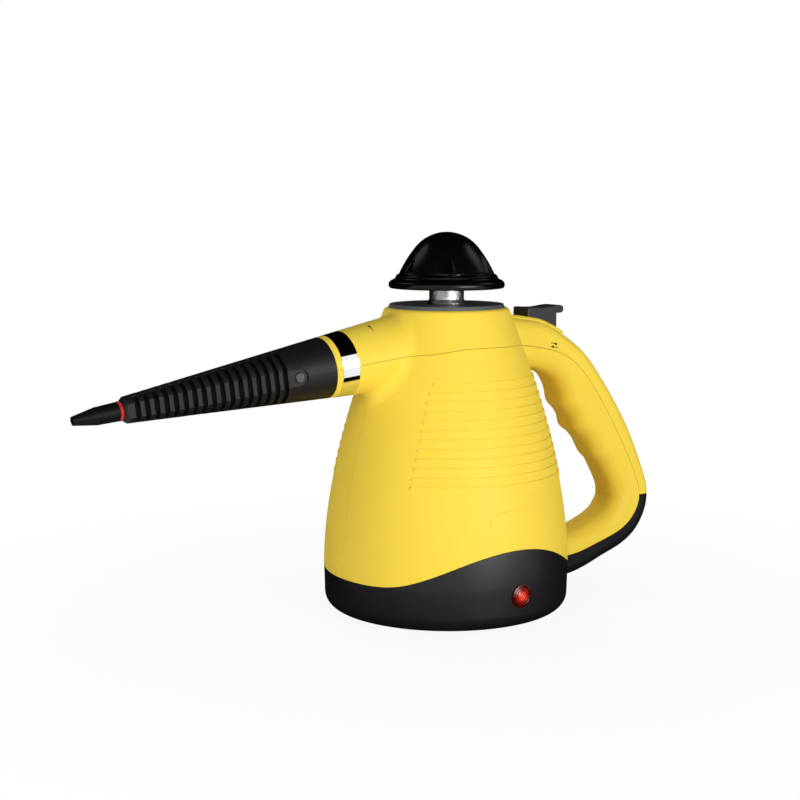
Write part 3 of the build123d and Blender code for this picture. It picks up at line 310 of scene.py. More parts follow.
def grained(tree, shader, place, spacing, height, strength=1.0, detail=3.0):
    """Surface grain as bump, with features this far apart and this high."""
    grain = add(tree, "ShaderNodeTexNoise", values={"Scale": 1 / spacing, "Detail": detail},
                links={"Vector": place})
    bump = add(tree, "ShaderNodeBump", values={"Strength": strength, "Distance": height},
               links={"Height": grain.outputs["Fac"]})
    tree.links.new(bump.outputs["Normal"], shader.inputs["Normal"])


def drifting(tree, place, spacing, low, high, detail=3.0):
    """Roughness that drifts from low to high, in patches about the spacing apart."""
    patches = add(tree, "ShaderNodeTexNoise", values={"Scale": 1 / spacing, "Detail": detail},
                  links={"Vector": place})
    rough = add(tree, "ShaderNodeMapRange", values={"To Min": low, "To Max": high},
                links={"Value": patches.outputs["Fac"]})
    return rough.outputs["Result"]


def moulded_skin(tree, shader, place, spacing, height, low, high):
    """Fine moulded texture as bump, with the roughness drifting from low to high over a few centimetres."""
    grained(tree, shader, place, spacing, height)
    tree.links.new(drifting(tree, place, GLOSS_PATCH, low, high, detail=2.0), shader.inputs["Roughness"])


def shell_plastic(colours, sizes):
    """Moulded ABS with a spark-eroded skin: opaque, satin, a little warmer where light goes in.

    The skin's texture is finer than a render shows, and is drawn as coarse as it needs to be.
    """
    material, tree, shader, place = new_material("moulded_abs_yellow")
    tinted(tree, shader, place, 60 * MM, colours.shell, darker(colours.shell, 0.97))
    moulded_skin(tree, shader, place, sizes.shell_grain, height=0.006 * MM, low=0.40, high=0.48)
    set_shader(shader, {"IOR": 1.48, "Specular IOR Level": 0.14, "Subsurface Weight": 0.06,
                        "Subsurface Radius": (1.0, 0.6, 0.15), "Subsurface Scale": 1.2 * MM})
    return material


def base_plastic(colours, sizes):
    """Moulded polypropylene, black, with the same fine skin as the shell and a softer gloss."""
    material, tree, shader, place = new_material("moulded_polypropylene_black")
    tinted(tree, shader, place, 40 * MM, colours.base, darker(colours.base, 0.8))
    moulded_skin(tree, shader, place, sizes.shell_grain, height=0.014 * MM, low=0.34, high=0.42)
    set_shader(shader, {"IOR": 1.49, "Specular IOR Level": 0.38})
    return material


# Painted shade: this share darkens the sleeve's grooves in colour, standing in for their shade, and also
# makes them matt.
def groove_shade_share(tree, place):
    """One inside the sleeve's grooves and nought on its ribs, by the place along and off the nozzle axis.

    The depth is the cone's radius less the distance from the axis. A groove's middle lies a whole number of
    pitches from the last groove's, and the painted shade thins out from the groove's half width to a little
    past it.
    """
    axis = (-math.cos(SPOUT_DROP), 0.0, -math.sin(SPOUT_DROP))
    cone_radius = SLEEVE_RADIUS + SLEEVE_START * SLEEVE_TAPER
    middle = (GROOVE_FIRST + GROOVE_LAST) / 2
    half_length = (GROOVE_FIRST - GROOVE_LAST) / 2 + GROOVE_SHADE_PAST_ROW_HALF_WIDTHS * GROOVE_HALF_WIDTH
    offset = add(tree, "ShaderNodeVectorMath", {"operation": "SUBTRACT"}, {1: (0.0, 0.0, SPOUT_HEIGHT)},
                 {0: place}).outputs["Vector"]
    along = add(tree, "ShaderNodeVectorMath", {"operation": "DOT_PRODUCT"}, {1: axis},
                {0: offset}).outputs["Value"]
    across = add(tree, "ShaderNodeVectorMath", {"operation": "CROSS_PRODUCT"}, {1: axis},
                 {0: offset}).outputs["Vector"]
    radius = add(tree, "ShaderNodeVectorMath", {"operation": "LENGTH"}, links={0: across}).outputs["Value"]
    cone = add(tree, "ShaderNodeMath", {"operation": "MULTIPLY_ADD"}, {1: -SLEEVE_TAPER, 2: cone_radius},
               {0: along}).outputs[0]
    depth = add(tree, "ShaderNodeMath", {"operation": "SUBTRACT"}, links={0: cone, 1: radius}).outputs[0]
    below = add(tree, "ShaderNodeMapRange",
                values={"From Min": GROOVE_SHADE_START_DEPTH, "From Max": GROOVE_SHADE_FULL_DEPTH},
                links={"Value": depth}).outputs["Result"]
    phase = add(tree, "ShaderNodeMath", {"operation": "SUBTRACT"}, {1: GROOVE_LAST},
                {0: along}).outputs[0]
    beside = add(tree, "ShaderNodeMath", {"operation": "PINGPONG"}, {1: GROOVE_PITCH / 2},
                 {0: phase}).outputs[0]
    between = add(tree, "ShaderNodeMapRange",
                  values={"From Min": GROOVE_HALF_WIDTH, "From Max": GROOVE_SHADE_END_HALF_WIDTHS * GROOVE_HALF_WIDTH,
                          "To Min": 1.0, "To Max": 0.0},
                  links={"Value": beside}).outputs["Result"]
    inside = add(tree, "ShaderNodeMath", {"operation": "COMPARE"}, {1: middle, 2: half_length},
                 {0: along}).outputs[0]
    both = add(tree, "ShaderNodeMath", {"operation": "MULTIPLY"}, links={0: below, 1: between}).outputs[0]
    return add(tree, "ShaderNodeMath", {"operation": "MULTIPLY"}, links={0: both, 1: inside}).outputs[0]


def sleeve_plastic(colours, sizes):
    """Glass-filled nylon of the hot nozzle: ribs rubbed satin by the hand, grooves matt and darkened with
    painted shade.
    """
    material, tree, shader, place = new_material("glass_filled_nylon_black")
    groove = groove_shade_share(tree, place)
    patches = add(tree, "ShaderNodeTexNoise", values={"Scale": 1 / (25 * MM), "Detail": 2.0},
                  links={"Vector": place})
    rubbed = add(tree, "ShaderNodeMix", {"data_type": "RGBA"},
                 {"A": colours.sleeve, "B": darker(colours.sleeve, 0.75)}, {"Factor": patches.outputs["Fac"]})
    # Painted shade: the grooves take a colour a tenth as bright as the sleeve's.
    colour = add(tree, "ShaderNodeMix", {"data_type": "RGBA"}, {"B": darker(colours.sleeve, 0.1)},
                 {"Factor": groove, "A": rubbed.outputs["Result"]})
    tree.links.new(colour.outputs["Result"], shader.inputs["Base Color"])
    grained(tree, shader, place, sizes.sleeve_grain, height=0.02 * MM)
    gloss = add(tree, "ShaderNodeMix", {"data_type": "FLOAT"}, {"B": 1.0},
                {"Factor": groove, "A": drifting(tree, place, GLOSS_PATCH, low=0.42, high=0.52, detail=2.0)})
    tree.links.new(gloss.outputs["Result"], shader.inputs["Roughness"])
    set_shader(shader, {"IOR": 1.53, "Specular IOR Level": 0.20})
    return material


def tip_plastic(colours, sizes):
    """Moulded heat-proof plastic of the tip: matt black, with hardly a highlight."""
    material, tree, shader, place = new_material("heat_proof_plastic_black")
    tinted(tree, shader, place, 8 * MM, colours.tip, darker(colours.tip, 0.7))
    moulded_skin(tree, shader, place, sizes.sleeve_grain, height=0.02 * MM, low=0.45, high=0.55)
    set_shader(shader, {"IOR": 1.5, "Specular IOR Level": 0.12})
    return material


def trigger_plastic(colours, sizes):
    """Moulded acetal of the trigger and button: dark grey satin, rubbed smoother by the thumb in places."""
    material, tree, shader, place = new_material("moulded_acetal_black")
    tinted(tree, shader, place, 12 * MM, colours.trigger, darker(colours.trigger, 0.8))
    moulded_skin(tree, shader, place, sizes.shell_grain, height=0.012 * MM, low=0.28, high=0.40)
    set_shader(shader, {"IOR": 1.48, "Specular IOR Level": 0.4})
    return material


def cap_plastic(colours):
    """Phenolic knob from a polished mould: near mirror gloss with a faint moulding ripple."""
    material, tree, shader, place = new_material("polished_phenolic_black")
    tinted(tree, shader, place, 20 * MM, colours.cap, darker(colours.cap, 0.7))
    grained(tree, shader, place, 14 * MM, height=0.05 * MM, strength=0.4, detail=1.0)
    dust = drifting(tree, place, 3 * MM, low=0.20, high=0.27, detail=4.0)
    tree.links.new(dust, shader.inputs["Roughness"])
    set_shader(shader, {"IOR": 1.55, "Specular IOR Level": 0.2})
    return material


def collar_plastic(colours):
    """Grey moulded nylon disc, turned smooth: fine rings round the axis."""
    material, tree, shader, place = new_material("moulded_nylon_grey")
    tinted(tree, shader, place, 15 * MM, colours.collar, darker(colours.collar, 0.85))
    rings = add(tree, "ShaderNodeTexWave", {"wave_type": "RINGS", "rings_direction": "Z"},
                {"Scale": 1 / (6 * MM), "Distortion": 0.4, "Detail": 1.0}, {"Vector": place})
    bump = add(tree, "ShaderNodeBump", values={"Strength": 0.3, "Distance": 0.02 * MM},
               links={"Height": rings.outputs["Fac"]})
    tree.links.new(bump.outputs["Normal"], shader.inputs["Normal"])
    set_shader(shader, {"Roughness": 0.42, "IOR": 1.53})
    return material


def band_chrome(colours):
    """Chrome plate on plastic: a mirror with the slightest haze."""
    material, tree, shader, place = new_material("chrome_plate")
    haze = drifting(tree, place, 5 * MM, low=0.03, high=0.08)
    tree.links.new(haze, shader.inputs["Roughness"])
    set_shader(shader, {"Base Color": colours.band, "Metallic": 1.0})
    return material


def metal(name, hex_colour, spacing, height, low, high):
    """Metal with a surface grain, whose colour and roughness drift in patches of a few grains.

    The grains of the smooth metals are finer than a render shows, and are drawn as coarse as they need to be.
    """
    material, tree, shader, place = new_material(name)
    colour = linear(hex_colour)
    tinted(tree, shader, place, 4 * spacing, colour, darker(colour, 0.82))
    grained(tree, shader, place, spacing, height, strength=0.8, detail=4.0)
    tree.links.new(drifting(tree, place, 2 * spacing, low, high), shader.inputs["Roughness"])
    set_shader(shader, {"Metallic": 1.0})
    return material


def cast_aluminium():
    """Cast aluminium of the boiler: pale and dull, with a coarse skin."""
    return metal("cast_aluminium", "c9cbcc", spacing=1.6 * MM, height=0.12 * MM, low=0.32, high=0.5)


def machined_aluminium():
    """Machined aluminium of the filler neck: bright, with a restless mottle drawn coarse enough to show."""
    return metal("machined_aluminium", "d9dadb", spacing=1.6 * MM, height=0.7 * MM, low=0.25, high=0.42)


def zinc_plated_steel():
    """Zinc-plated steel of screws and brackets: cool grey, softly shining."""
    return metal("zinc_plated_steel", "b9babb", spacing=0.6 * MM, height=0.01 * MM, low=0.22, high=0.34)


def turned_brass():
    """Turned brass of the valve and pipe: yellow, with a fine grain."""
    return metal("turned_brass", "c9a653", spacing=0.5 * MM, height=0.01 * MM, low=0.24, high=0.36)


def drawn_copper():
    """Drawn copper of the tubes: red, smooth, a little dulled by heat."""
    return metal("drawn_copper", "c98462", spacing=0.8 * MM, height=0.01 * MM, low=0.24, high=0.38)


def drawn_spring_steel():
    """Drawn steel of the coil springs: the darkest and smoothest of the metals."""
    return metal("drawn_spring_steel", "a9aaac", spacing=0.6 * MM, height=0.01 * MM, low=0.2, high=0.3)


def dusty_moulding(name, colour):
    """Soft satin surface with a dusty bloom."""
    material, tree, shader, place = new_material(name)
    tinted(tree, shader, place, 3 * MM, colour, darker(colour, 0.8))
    tree.links.new(drifting(tree, place, 1.5 * MM, low=0.42, high=0.58), shader.inputs["Roughness"])
    set_shader(shader, {"IOR": 1.41, "Sheen Weight": 0.15})
    return material


def seal_silicone(colours):
    """Moulded silicone of the seals: red, soft to look at, with a bloom."""
    return dusty_moulding("silicone_red", colours.ring)


def steatite():
    """Pressed steatite of the electrical pieces: chalky white, hardly shining."""
    return dusty_moulding("steatite_white", linear("d9d5c8"))


def lens_plastic(colours, sizes):
    """Clear red polycarbonate over a lit lamp: moulded prism rings, brightest in the middle, dark at the rim.

    The lamp's light is painted into the colour and the glow: the brightness falls off smoothly with the
    distance from the middle, times the rings' sine along it, and the dark red at the rim is painted shade.
    """
    material, tree, shader, place = new_material("clear_polycarbonate_red")
    low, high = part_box("indicator_lens")
    offset = add(tree, "ShaderNodeVectorMath", {"operation": "SUBTRACT"}, {1: (low + high) / 2},
                 {0: place}).outputs["Vector"]
    flat = add(tree, "ShaderNodeVectorMath", {"operation": "MULTIPLY"}, {1: (1.0, 0.0, 1.0)},
               {0: offset}).outputs["Vector"]
    away = add(tree, "ShaderNodeVectorMath", {"operation": "LENGTH"}, links={0: flat}).outputs["Value"]
    near = add(tree, "ShaderNodeMapRange", {"interpolation_type": "SMOOTHERSTEP"},
               {"From Min": 0.0, "From Max": (high.z - low.z) / 2, "To Min": 1.0, "To Max": 0.0},
               {"Value": away}).outputs["Result"]
    turns = add(tree, "ShaderNodeMath", {"operation": "MULTIPLY"}, {1: math.tau / sizes.lens_ring},
                {0: away}).outputs[0]
    rings = add(tree, "ShaderNodeMath", {"operation": "SINE"}, links={0: turns}).outputs[0]
    share = add(tree, "ShaderNodeMapRange", values={"To Min": FURROW_PAINTED_SHADE_SHARE, "To Max": 1.0},
                links={"Value": rings}).outputs["Result"]
    bright = add(tree, "ShaderNodeMath", {"operation": "MULTIPLY"}, links={0: near, 1: share}).outputs[0]
    # Painted light: colour and glow follow this brightness, lit red in the middle, painted shade at the rim
    # and in the furrows.
    ramp = add(tree, "ShaderNodeValToRGB", links={"Fac": bright})
    ramp.color_ramp.elements[0].color = darker(colours.lens, RIM_PAINTED_SHADE_SHARE)
    ramp.color_ramp.elements[1].color = colours.lens_painted_light
    middle = ramp.color_ramp.elements.new(0.5)
    middle.color = colours.lens
    tree.links.new(ramp.outputs["Color"], shader.inputs["Base Color"])
    tree.links.new(ramp.outputs["Color"], shader.inputs["Emission Color"])
    glow = add(tree, "ShaderNodeMapRange", values={"To Min": RIM_GLOW, "To Max": MIDDLE_GLOW},
               links={"Value": bright})
    tree.links.new(glow.outputs["Result"], shader.inputs["Emission Strength"])
    bump = add(tree, "ShaderNodeBump", values={"Strength": 0.5, "Distance": 0.08 * MM},
               links={"Height": rings})
    tree.links.new(bump.outputs["Normal"], shader.inputs["Normal"])
    set_shader(shader, {"Roughness": 0.18, "IOR": 1.58, "Specular IOR Level": 0.3})
    return material


def printed_ink(colours):
    """Pad-printed ink: thin and matt, a little uneven where it took less."""
    material, tree, shader, place = new_material("pad_print_ink_dark")
    tinted(tree, shader, place, 0.6 * MM, colours.ink, darker(colours.ink, 0.6))
    set_shader(shader, {"Roughness": 0.55})
    return material


def pressed_onto(points, target, lift, from_above):
    """Points of a flat pattern carried straight onto a node and lifted off it.

    The pattern's points are (x, z) as seen from the side, or (x, y) as seen from above.
    """
    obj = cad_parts[target]
    way = Vector((0, 0, -1)) if from_above else Vector((0, 1, 0))
    placed = []
    for x, other in points:
        start = Vector((x, other, CAD_BOX[1].z)) if from_above else Vector((x, CAD_BOX[0].y, other))
        hit, spot, normal, _ = obj.ray_cast(start, way)
        if not hit:
            raise RuntimeError(f"{target} isn't under the printed mark at {x:.4f}, {other:.4f}")
        placed.append(spot + normal * lift)
    return placed


def arrow_outline(length, stroke):
    """Grid of an arrow lying along x: a thin shaft, then a head whose half width falls off evenly."""
    along = np.linspace(0.0, 1.0, ARROW_POINTS)
    left = (1 - along) / (1 - ARROW_HEAD_START_SHARE)
    half = np.where(along < ARROW_HEAD_START_SHARE, stroke / 2, stroke * ARROW_HEAD_STROKES * left)
    half = np.maximum(half, stroke * ARROW_POINT_STROKES)
    x = (along - 0.5) * length
    across = np.array([-1.0, 0.0, 1.0])
    return np.stack([x[:, None] * np.ones_like(across), half[:, None] * across], axis=-1)


def grid_faces(rows, columns):
    """Quads of a rows by columns grid of points."""
    index = np.arange(rows * columns).reshape(rows, columns)
    quads = np.stack([index[:-1, :-1], index[1:, :-1], index[1:, 1:], index[:-1, 1:]], axis=-1)
    return quads.reshape(-1, 4).tolist()


def printed_arrow(name, target, centre, angle, sizes, material, from_above=False):
    """One printed arrow pressed onto a node from its side or from above: the outline turned, moved, cast."""
    grid = arrow_outline(sizes.arrow_length, sizes.arrow_stroke)
    rows, columns, _ = grid.shape
    turn = np.array([[math.cos(angle), math.sin(angle)], [-math.sin(angle), math.cos(angle)]])
    flat = grid.reshape(-1, 2) @ turn + np.array(centre)
    points = pressed_onto(flat.tolist(), target, sizes.ink_lift, from_above)
    mesh = bpy.data.meshes.new(name)
    mesh.from_pydata([tuple(point) for point in points], [], grid_faces(rows, columns))
    mesh.update()
    outward = Vector((0, 0, 1)) if from_above else Vector((0, -1, 0))
    if mesh.polygons[0].normal.dot(outward) < 0:
        mesh.flip_normals()
    mesh.materials.append(material)
    arrow = bpy.data.objects.new(name, mesh)
    bpy.context.scene.collection.objects.link(arrow)
    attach(arrow, "housing")


def smooth_hull(points, steps):
    """Uniform cubic B-spline of a control polygon that starts and ends in its end points."""
    points = np.array(points)
    hull = np.vstack([points[:1], points[:1], points, points[-1:], points[-1:]])
    t = np.linspace(0.0, 1.0, steps, endpoint=False)[:, None]
    before = 3 * t ** 3 - 6 * t ** 2 + 4
    after = 3 * (t + t ** 2 - t ** 3) + 1
    weights = np.hstack([(1 - t) ** 3, before, after, t ** 3]) / 6
    spans = [weights @ hull[start:start + 4] for start in range(len(hull) - 3)]
    return np.vstack([*spans, hull[-1:]])


def eased(value, low, high):
    """Smooth step of the value from nought at low to one at high: 3 t squared less 2 t cubed."""
    t = np.clip((value - low) / (high - low), 0.0, 1.0)
    return t * t * (3 - 2 * t)


def wrapped_faces(rows, columns):
    """Quads of a grid of points that closes round its columns, and a face over each end row."""
    index = np.arange(rows * columns).reshape(rows, columns)
    after = np.roll(index, -1, axis=1)
    quads = np.stack([index[:-1], index[1:], after[1:], after[:-1]], axis=-1).reshape(-1, 4)
    return [*quads.tolist(), index[0].tolist(), index[-1][::-1].tolist()]


def stand_in(name, node, body, points, material):
    """Closed piece that stands for a CAD node on its body, from a grid of points that closes on itself."""
    rows, columns, _ = points.shape
    mesh = bpy.data.meshes.new(name)
    mesh.from_pydata(points.reshape(-1, 3).tolist(), [], wrapped_faces(rows, columns))
    mesh.update()
    mesh.shade_smooth()
    mesh.set_sharp_from_angle(angle=SHARP_ANGLE)
    mesh.materials.append(material)
    piece = bpy.data.objects.new(name, mesh)
    bpy.context.scene.collection.objects.link(piece)
    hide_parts(node)
    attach(piece, body)
    return piece


def coil_spring(node, body, turns, wire, material):
    """Coil spring: a circle of wire carried along a helix in the CAD node's box.

    A point is the helix's point plus the wire's radius times cos b outwards and sin b along its binormal.
    """
    low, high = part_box(node)
    centre = (low + high) / 2
    length = high.z - low.z
    radius = (high.x - low.x - wire) / 2
    turn = np.linspace(0.0, math.tau * turns, COIL_ROWS_PER_TURN * turns + 1)[:, None]
    around = np.linspace(0.0, math.tau, WIRE_COLUMNS, endpoint=False)[None, :]
    climb = (length - wire) / (math.tau * turns)
    lean = math.atan2(climb, radius)
    reach = radius + np.cos(around) * wire / 2
    rise = np.sin(around) * wire / 2
    x = centre.x + reach * np.cos(turn) + rise * math.sin(lean) * np.sin(turn)
    y = centre.y + reach * np.sin(turn) - rise * math.sin(lean) * np.cos(turn)
    z = low.z + wire / 2 + climb * turn + rise * math.cos(lean)
    spring = stand_in(f"{node}_coil", node, body, np.stack([x, y, z], axis=-1), material)
    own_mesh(spring)


def fluted_knob(sizes, material):
    """Fluted knob: its half section turned round, with ridges laid on it and flutes left between them.

    With s the squared sine of half the ridges' number times the turn, and c the squared width of a crest, a
    ridge stands out by its height times 1 - s (1 + c) / (s + c). Ridges widen downwards and end over the rim.
    """
    low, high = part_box("cap_knob")
    radius = (high.x - low.x) / 2
    height = high.z - low.z
    outside = smooth_hull(KNOB_OUTSIDE_SHARES, KNOB_STEPS_PER_SPAN)
    rise = outside[:, 1:]
    turn = np.linspace(0.0, math.tau, KNOB_COLUMNS, endpoint=False)[None, :]
    wave = np.sin(turn * KNOB_RIDGES / 2) ** 2
    widening = (CREST_FOOT_WIDTH - CREST_TOP_WIDTH) * (1 - eased(rise, *CREST_NARROWING_SHARES))
    crest = (CREST_TOP_WIDTH + widening) ** 2
    ridge = 1 - wave * (1 + crest) / (wave + crest)
    stand = sizes.knob_ridge * (1 - eased(rise, *RIDGE_FADING_SHARES)) * eased(rise, *RIDGE_FOOT_SHARES)
    hollow = np.array(KNOB_HOLLOW_SHARES)
    hollow_reach = np.repeat(hollow[:, :1] * radius, KNOB_COLUMNS, 1)
    reach = np.vstack([outside[:, :1] * radius + stand * ridge, hollow_reach])
    level = low.z + height * np.vstack([rise, hollow[:, 1:]]) * np.ones_like(turn)
    points = np.stack([reach * np.cos(turn), reach * np.sin(turn), level], axis=-1)
    stand_in("fluted_knob", "cap_knob", "cap_knob", points, material)


class CLEANER_OT_shell(bpy.types.Operator):
    """Give the yellow mouldings their plastic"""

    bl_idname = "cleaner.shell"
    bl_label = "Shell"

    def execute(self, context):
        scene = context.scene
        assign(shell_plastic(scene.cleaner_colours, scene.cleaner_sizes), "top_cover", "body_left",
               "body_right")
        return {"FINISHED"}


class CLEANER_OT_base(bpy.types.Operator):
    """Give the base cup, the cord inlet and the inner black mouldings their plastic"""

    bl_idname = "cleaner.base"
    bl_label = "Base"

    def execute(self, context):
        scene = context.scene
        assign(base_plastic(scene.cleaner_colours, scene.cleaner_sizes), "base_cup", "cord_gland",
               "spout_holder", "bayonet_ring", "trigger_carriage", "cap_driver")
        return {"FINISHED"}


class CLEANER_OT_nozzle(bpy.types.Operator):
    """Give the sleeve and the tip their plastics, the band its plating and the seals their silicone"""

    bl_idname = "cleaner.nozzle"
    bl_label = "Nozzle"

    def execute(self, context):
        colours = context.scene.cleaner_colours
        sizes = context.scene.cleaner_sizes
        assign(sleeve_plastic(colours, sizes), "nozzle_sleeve")
        assign(tip_plastic(colours, sizes), "tip_nozzle")
        assign(band_chrome(colours), "chrome_band")
        assign(seal_silicone(colours), "tip_oring", "cap_seal", "boiler_gasket")
        return {"FINISHED"}


class CLEANER_OT_trigger(bpy.types.Operator):
    """Give the trigger and the release button their plastic"""

    bl_idname = "cleaner.trigger"
    bl_label = "Trigger"

    def execute(self, context):
        scene = context.scene
        assign(trigger_plastic(scene.cleaner_colours, scene.cleaner_sizes), "trigger", "release_button")
        return {"FINISHED"}


class CLEANER_OT_cap(bpy.types.Operator):
    """Shape the cap's fluted knob, and give the cap and the collar their finishes"""

    bl_idname = "cleaner.cap"
    bl_label = "Cap"

    def execute(self, context):
        colours = context.scene.cleaner_colours
        knob_finish = cap_plastic(colours)
        assign(knob_finish, "cap_knob")
        fluted_knob(context.scene.cleaner_sizes, knob_finish)
        assign(collar_plastic(colours), "collar_ring")
        return {"FINISHED"}


class CLEANER_OT_metals(bpy.types.Operator):
    """Give the boiler, valve, pipes and screws their metals, and the electrical pieces their steatite"""

    bl_idname = "cleaner.metals"
    bl_label = "Metals"

    def execute(self, context):
        assign(cast_aluminium(), "boiler_lower", "boiler_upper")
        assign(machined_aluminium(), "filler_neck")
        assign(zinc_plated_steel(), "base_screws", "cover_screws", "boiler_screws", "valve_bracket",
               "trigger_spring", "cap_spring", "cap_relief_valve", "heating_element")
        assign(turned_brass(), "steam_valve_body", "valve_stem", "cap_insert", "nozzle_pipe")
        assign(drawn_copper(), "inlet_tube", "outlet_tube", "spout_pipe")
        assign(steatite(), "thermostat", "thermal_fuse", "terminal_block")
        return {"FINISHED"}


class CLEANER_OT_springs(bpy.types.Operator):
    """Coil the springs of the cap and the trigger, which shorten when they are pressed"""

    bl_idname = "cleaner.springs"
    bl_label = "Springs"

    def execute(self, context):
        steel = drawn_spring_steel()
        coil_spring("cap_spring", "cap_screw", CAP_SPRING_TURNS, CAP_SPRING_WIRE, steel)
        coil_spring("trigger_spring", "trigger_carriage", TRIGGER_SPRING_TURNS,
                    TRIGGER_SPRING_WIRE, steel)
        return {"FINISHED"}


class CLEANER_OT_indicator(bpy.types.Operator):
    """Give the indicator its lit red lens and its lamp"""

    bl_idname = "cleaner.indicator"
    bl_label = "Indicator"

    def execute(self, context):
        lens = lens_plastic(context.scene.cleaner_colours, context.scene.cleaner_sizes)
        assign(lens, "indicator_lens", "indicator_lamp")
        return {"FINISHED"}


class CLEANER_OT_marks(bpy.types.Operator):
    """Print the double arrow of the trigger's lock and the small arrow on the neck"""

    bl_idname = "cleaner.marks"
    bl_label = "Printed marks"

    def execute(self, context):
        sizes = context.scene.cleaner_sizes
        ink = printed_ink(context.scene.cleaner_colours)
        upper = (sizes.arrow_x, sizes.arrow_z + sizes.arrow_gap / 2)
        lower = (sizes.arrow_x, sizes.arrow_z - sizes.arrow_gap / 2)
        neck = (sizes.neck_arrow_x, sizes.neck_arrow_y)
        printed_arrow("printed_arrow_1", "top_cover", upper, ARROW_SLOPE, sizes, ink)
        printed_arrow("printed_arrow_2", "top_cover", lower, ARROW_SLOPE + math.pi, sizes, ink)
        printed_arrow("printed_arrow_3", "top_cover", neck, math.pi / 2, sizes, ink, from_above=True)
        return {"FINISHED"}


def soft_box(name, place, width, height, watts, shines):
    """Rectangular studio lamp aimed at the object; one that doesn't shine leaves no highlight in a gloss."""
    data = bpy.data.lights.new(name, "AREA")
    data.shape = "RECTANGLE"
    data.size = width
    data.size_y = height
    data.energy = watts
    lamp = bpy.data.objects.new(name, data)
    bpy.context.scene.collection.objects.link(lamp)
    lamp.location = place
    lamp.rotation_euler = (Vector(LAMP_TARGET) - Vector(place)).to_track_quat("-Z", "Y").to_euler()
    lamp.visible_glossy = shines


def seen_rays(tree):
    """One where a ray comes from the camera, a mirror or glass, else nought."""
    path = add(tree, "ShaderNodeLightPath")
    first = add(tree, "ShaderNodeMath", {"operation": "MAXIMUM"},
                links={0: path.outputs["Is Camera Ray"], 1: path.outputs["Is Glossy Ray"]})
    second = add(tree, "ShaderNodeMath", {"operation": "MAXIMUM"},
                 links={0: first.outputs[0], 1: path.outputs["Is Transmission Ray"]})
    return second.outputs[0]


def flat_sheet(name, width, height, material):
    """Flat rectangle of the studio, centred on its own origin and facing up."""
    x = width / 2
    y = height / 2
    mesh = bpy.data.meshes.new(name)
    mesh.from_pydata([(-x, -y, 0), (x, -y, 0), (x, y, 0), (-x, y, 0)], [], [(0, 1, 2, 3)])
    mesh.materials.append(material)
    sheet = bpy.data.objects.new(name, mesh)
    bpy.context.scene.collection.objects.link(sheet)
    return sheet


def black_velvet():
    """Velvet of the studio's cards: black without any gloss."""
    material = bpy.data.materials.new("black_velvet")
    tree = blank_tree(material)
    nap = add(tree, "ShaderNodeBsdfDiffuse", values={"Color": linear("060606"), "Roughness": 1.0})
    add(tree, "ShaderNodeOutputMaterial", links={"Surface": nap.outputs["BSDF"]})
    return material


def seen_from_camera(right, beyond, height):
    """Place given by how far right of and beyond the object's axis the camera sees it, and its height."""
    cos = math.cos(CAMERA_TURN)
    sin = math.sin(CAMERA_TURN)
    return Vector((right * cos - beyond * sin, right * sin + beyond * cos, height))


def velvet_card(name, material, place, tilt, turn, width, height):
    """Card that shows in the object's gloss alone: it neither shades the object nor hides it."""
    card = flat_sheet(name, width, height, material)
    card.location = seen_from_camera(*place)
    card.rotation_euler = (tilt, 0.0, CAMERA_TURN + turn)
    card.visible_camera = False
    card.visible_diffuse = False
    card.visible_shadow = False


def studio_world():
    """World that is white to look at and a soft fill for the object."""
    world = bpy.data.worlds.new("studio")
    tree = blank_tree(world)
    strength = add(tree, "ShaderNodeMapRange", values={"To Min": WORLD_FILL, "To Max": 1.0},
                   links={"Value": seen_rays(tree)})
    background = add(tree, "ShaderNodeBackground", values={"Color": WHITE},
                     links={"Strength": strength.outputs["Result"]})
    add(tree, "ShaderNodeOutputWorld", links={"Surface": background.outputs["Background"]})
    bpy.context.scene.world = world


def floor_paper():
    """White paper sweep: it takes the shadow near the object and glows into the white farther off."""
    material = bpy.data.materials.new("white_paper")
    tree = blank_tree(material)
    place = add(tree, "ShaderNodeTexCoord").outputs["Object"]
    pulp = add(tree, "ShaderNodeTexNoise", values={"Scale": 1 / PULP_SPACING, "Detail": 3.0},
               links={"Vector": place})
    tint = add(tree, "ShaderNodeMix", {"data_type": "RGBA"}, {"A": PULP_DARK, "B": PULP_LIGHT},
               {"Factor": pulp.outputs["Fac"]})
    paper = add(tree, "ShaderNodeBsdfDiffuse", links={"Color": tint.outputs["Result"]})
    glow = add(tree, "ShaderNodeEmission", values={"Color": WHITE, "Strength": 1.0})
    away = add(tree, "ShaderNodeVectorMath", {"operation": "LENGTH"}, links={0: place})
    sweep = add(tree, "ShaderNodeMapRange", {"interpolation_type": "SMOOTHSTEP"},
                {"From Min": GLOW_START, "From Max": GLOW_FULL, "To Min": GLOW_START_SHARE, "To Max": 1.0},
                {"Value": away.outputs["Value"]})
    share = add(tree, "ShaderNodeMath", {"operation": "MULTIPLY"},
                links={0: sweep.outputs["Result"], 1: seen_rays(tree)})
    mix = add(tree, "ShaderNodeMixShader",
              links={0: share.outputs[0], 1: paper.outputs["BSDF"], 2: glow.outputs["Emission"]})
    add(tree, "ShaderNodeOutputMaterial", links={"Surface": mix.outputs["Shader"]})
    return material


def studio_floor():
    """Paper floor a hair under the object's foot."""
    floor = flat_sheet("floor", FLOOR_SIZE, FLOOR_SIZE, floor_paper())
    floor.location.z = -FLOOR_DROP


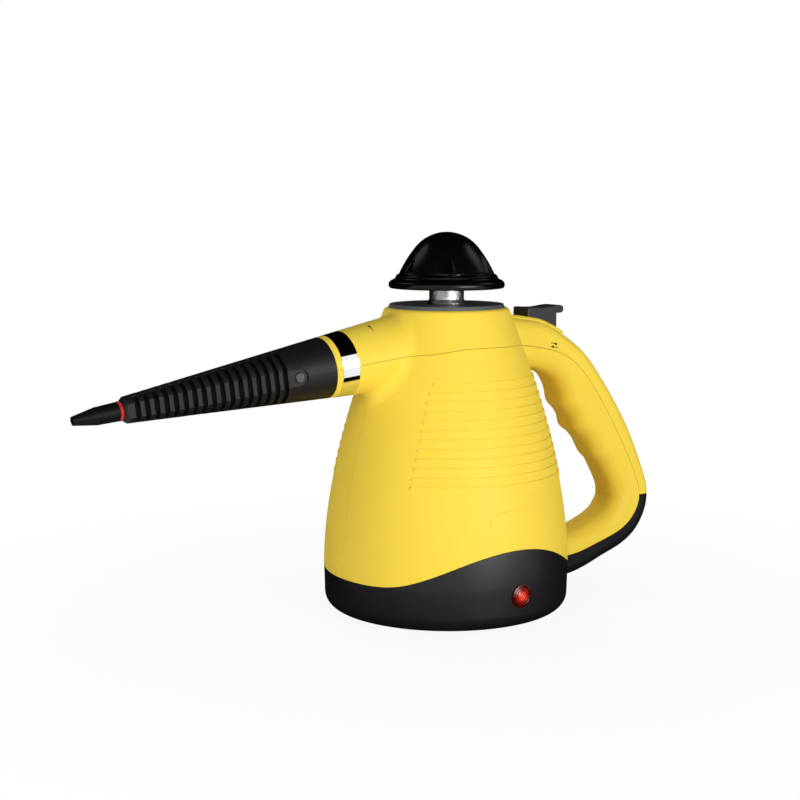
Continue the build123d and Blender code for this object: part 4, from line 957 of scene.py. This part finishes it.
def studio_camera(height):
    """Camera in the photograph's place, at this height over the floor."""
    data = bpy.data.cameras.new("camera")
    data.sensor_width = CAMERA_SENSOR
    data.lens = CAMERA_LENS
    camera = bpy.data.objects.new("camera", data)
    camera.location = (CAMERA_X, CAMERA_Y, height)
    camera.rotation_euler = (UPRIGHT - CAMERA_DROP, 0.0, CAMERA_TURN)
    bpy.context.scene.collection.objects.link(camera)
    bpy.context.scene.camera = camera


class CLEANER_OT_studio(bpy.types.Operator):
    """Set up the world, the floor, the lamps, the velvet cards and the camera"""

    bl_idname = "cleaner.studio"
    bl_label = "Studio"

    def execute(self, context):
        context.scene.view_settings.view_transform = "Standard"
        studio_world()
        studio_floor()
        for name, place, width, height, watts, shines in LAMPS:
            soft_box(name, place, width, height, watts, shines)
        velvet = black_velvet()
        for name, place, tilt, turn, width, height in VELVET_CARDS:
            velvet_card(name, velvet, place, tilt, turn, width, height)
        studio_camera(context.scene.cleaner_sizes.camera_height)
        return {"FINISHED"}


OPERATORS = (CLEANER_OT_shell, CLEANER_OT_base, CLEANER_OT_nozzle, CLEANER_OT_trigger, CLEANER_OT_cap,
             CLEANER_OT_metals, CLEANER_OT_springs, CLEANER_OT_indicator, CLEANER_OT_marks,
             CLEANER_OT_studio)


class CLEANER_PT_panel(bpy.types.Panel):
    """Steps of the cleaner's finishes and studio"""

    bl_idname = "CLEANER_PT_panel"
    bl_label = "Steam Cleaner"
    bl_space_type = "VIEW_3D"
    bl_region_type = "UI"
    bl_category = "Steam Cleaner"

    def draw(self, context):
        for operator in OPERATORS:
            self.layout.operator(operator.bl_idname)
        for group in (context.scene.cleaner_colours, context.scene.cleaner_sizes):
            for name in group.bl_rna.properties.keys():
                if name not in ("rna_type", "name"):
                    self.layout.prop(group, name)


CLASSES = (CleanerColours, CleanerSizes, *OPERATORS, CLEANER_PT_panel)


def register():
    for cls in CLASSES:
        bpy.utils.register_class(cls)
    bpy.types.Scene.cleaner_colours = PointerProperty(type=CleanerColours)
    bpy.types.Scene.cleaner_sizes = PointerProperty(type=CleanerSizes)


def unregister():
    del bpy.types.Scene.cleaner_sizes
    del bpy.types.Scene.cleaner_colours
    for cls in reversed(CLASSES):
        bpy.utils.unregister_class(cls)


def main():
    register()
    for operator in OPERATORS:
        group, name = operator.bl_idname.split(".")
        getattr(getattr(bpy.ops, group), name)()


if __name__ == "__main__":
    main()
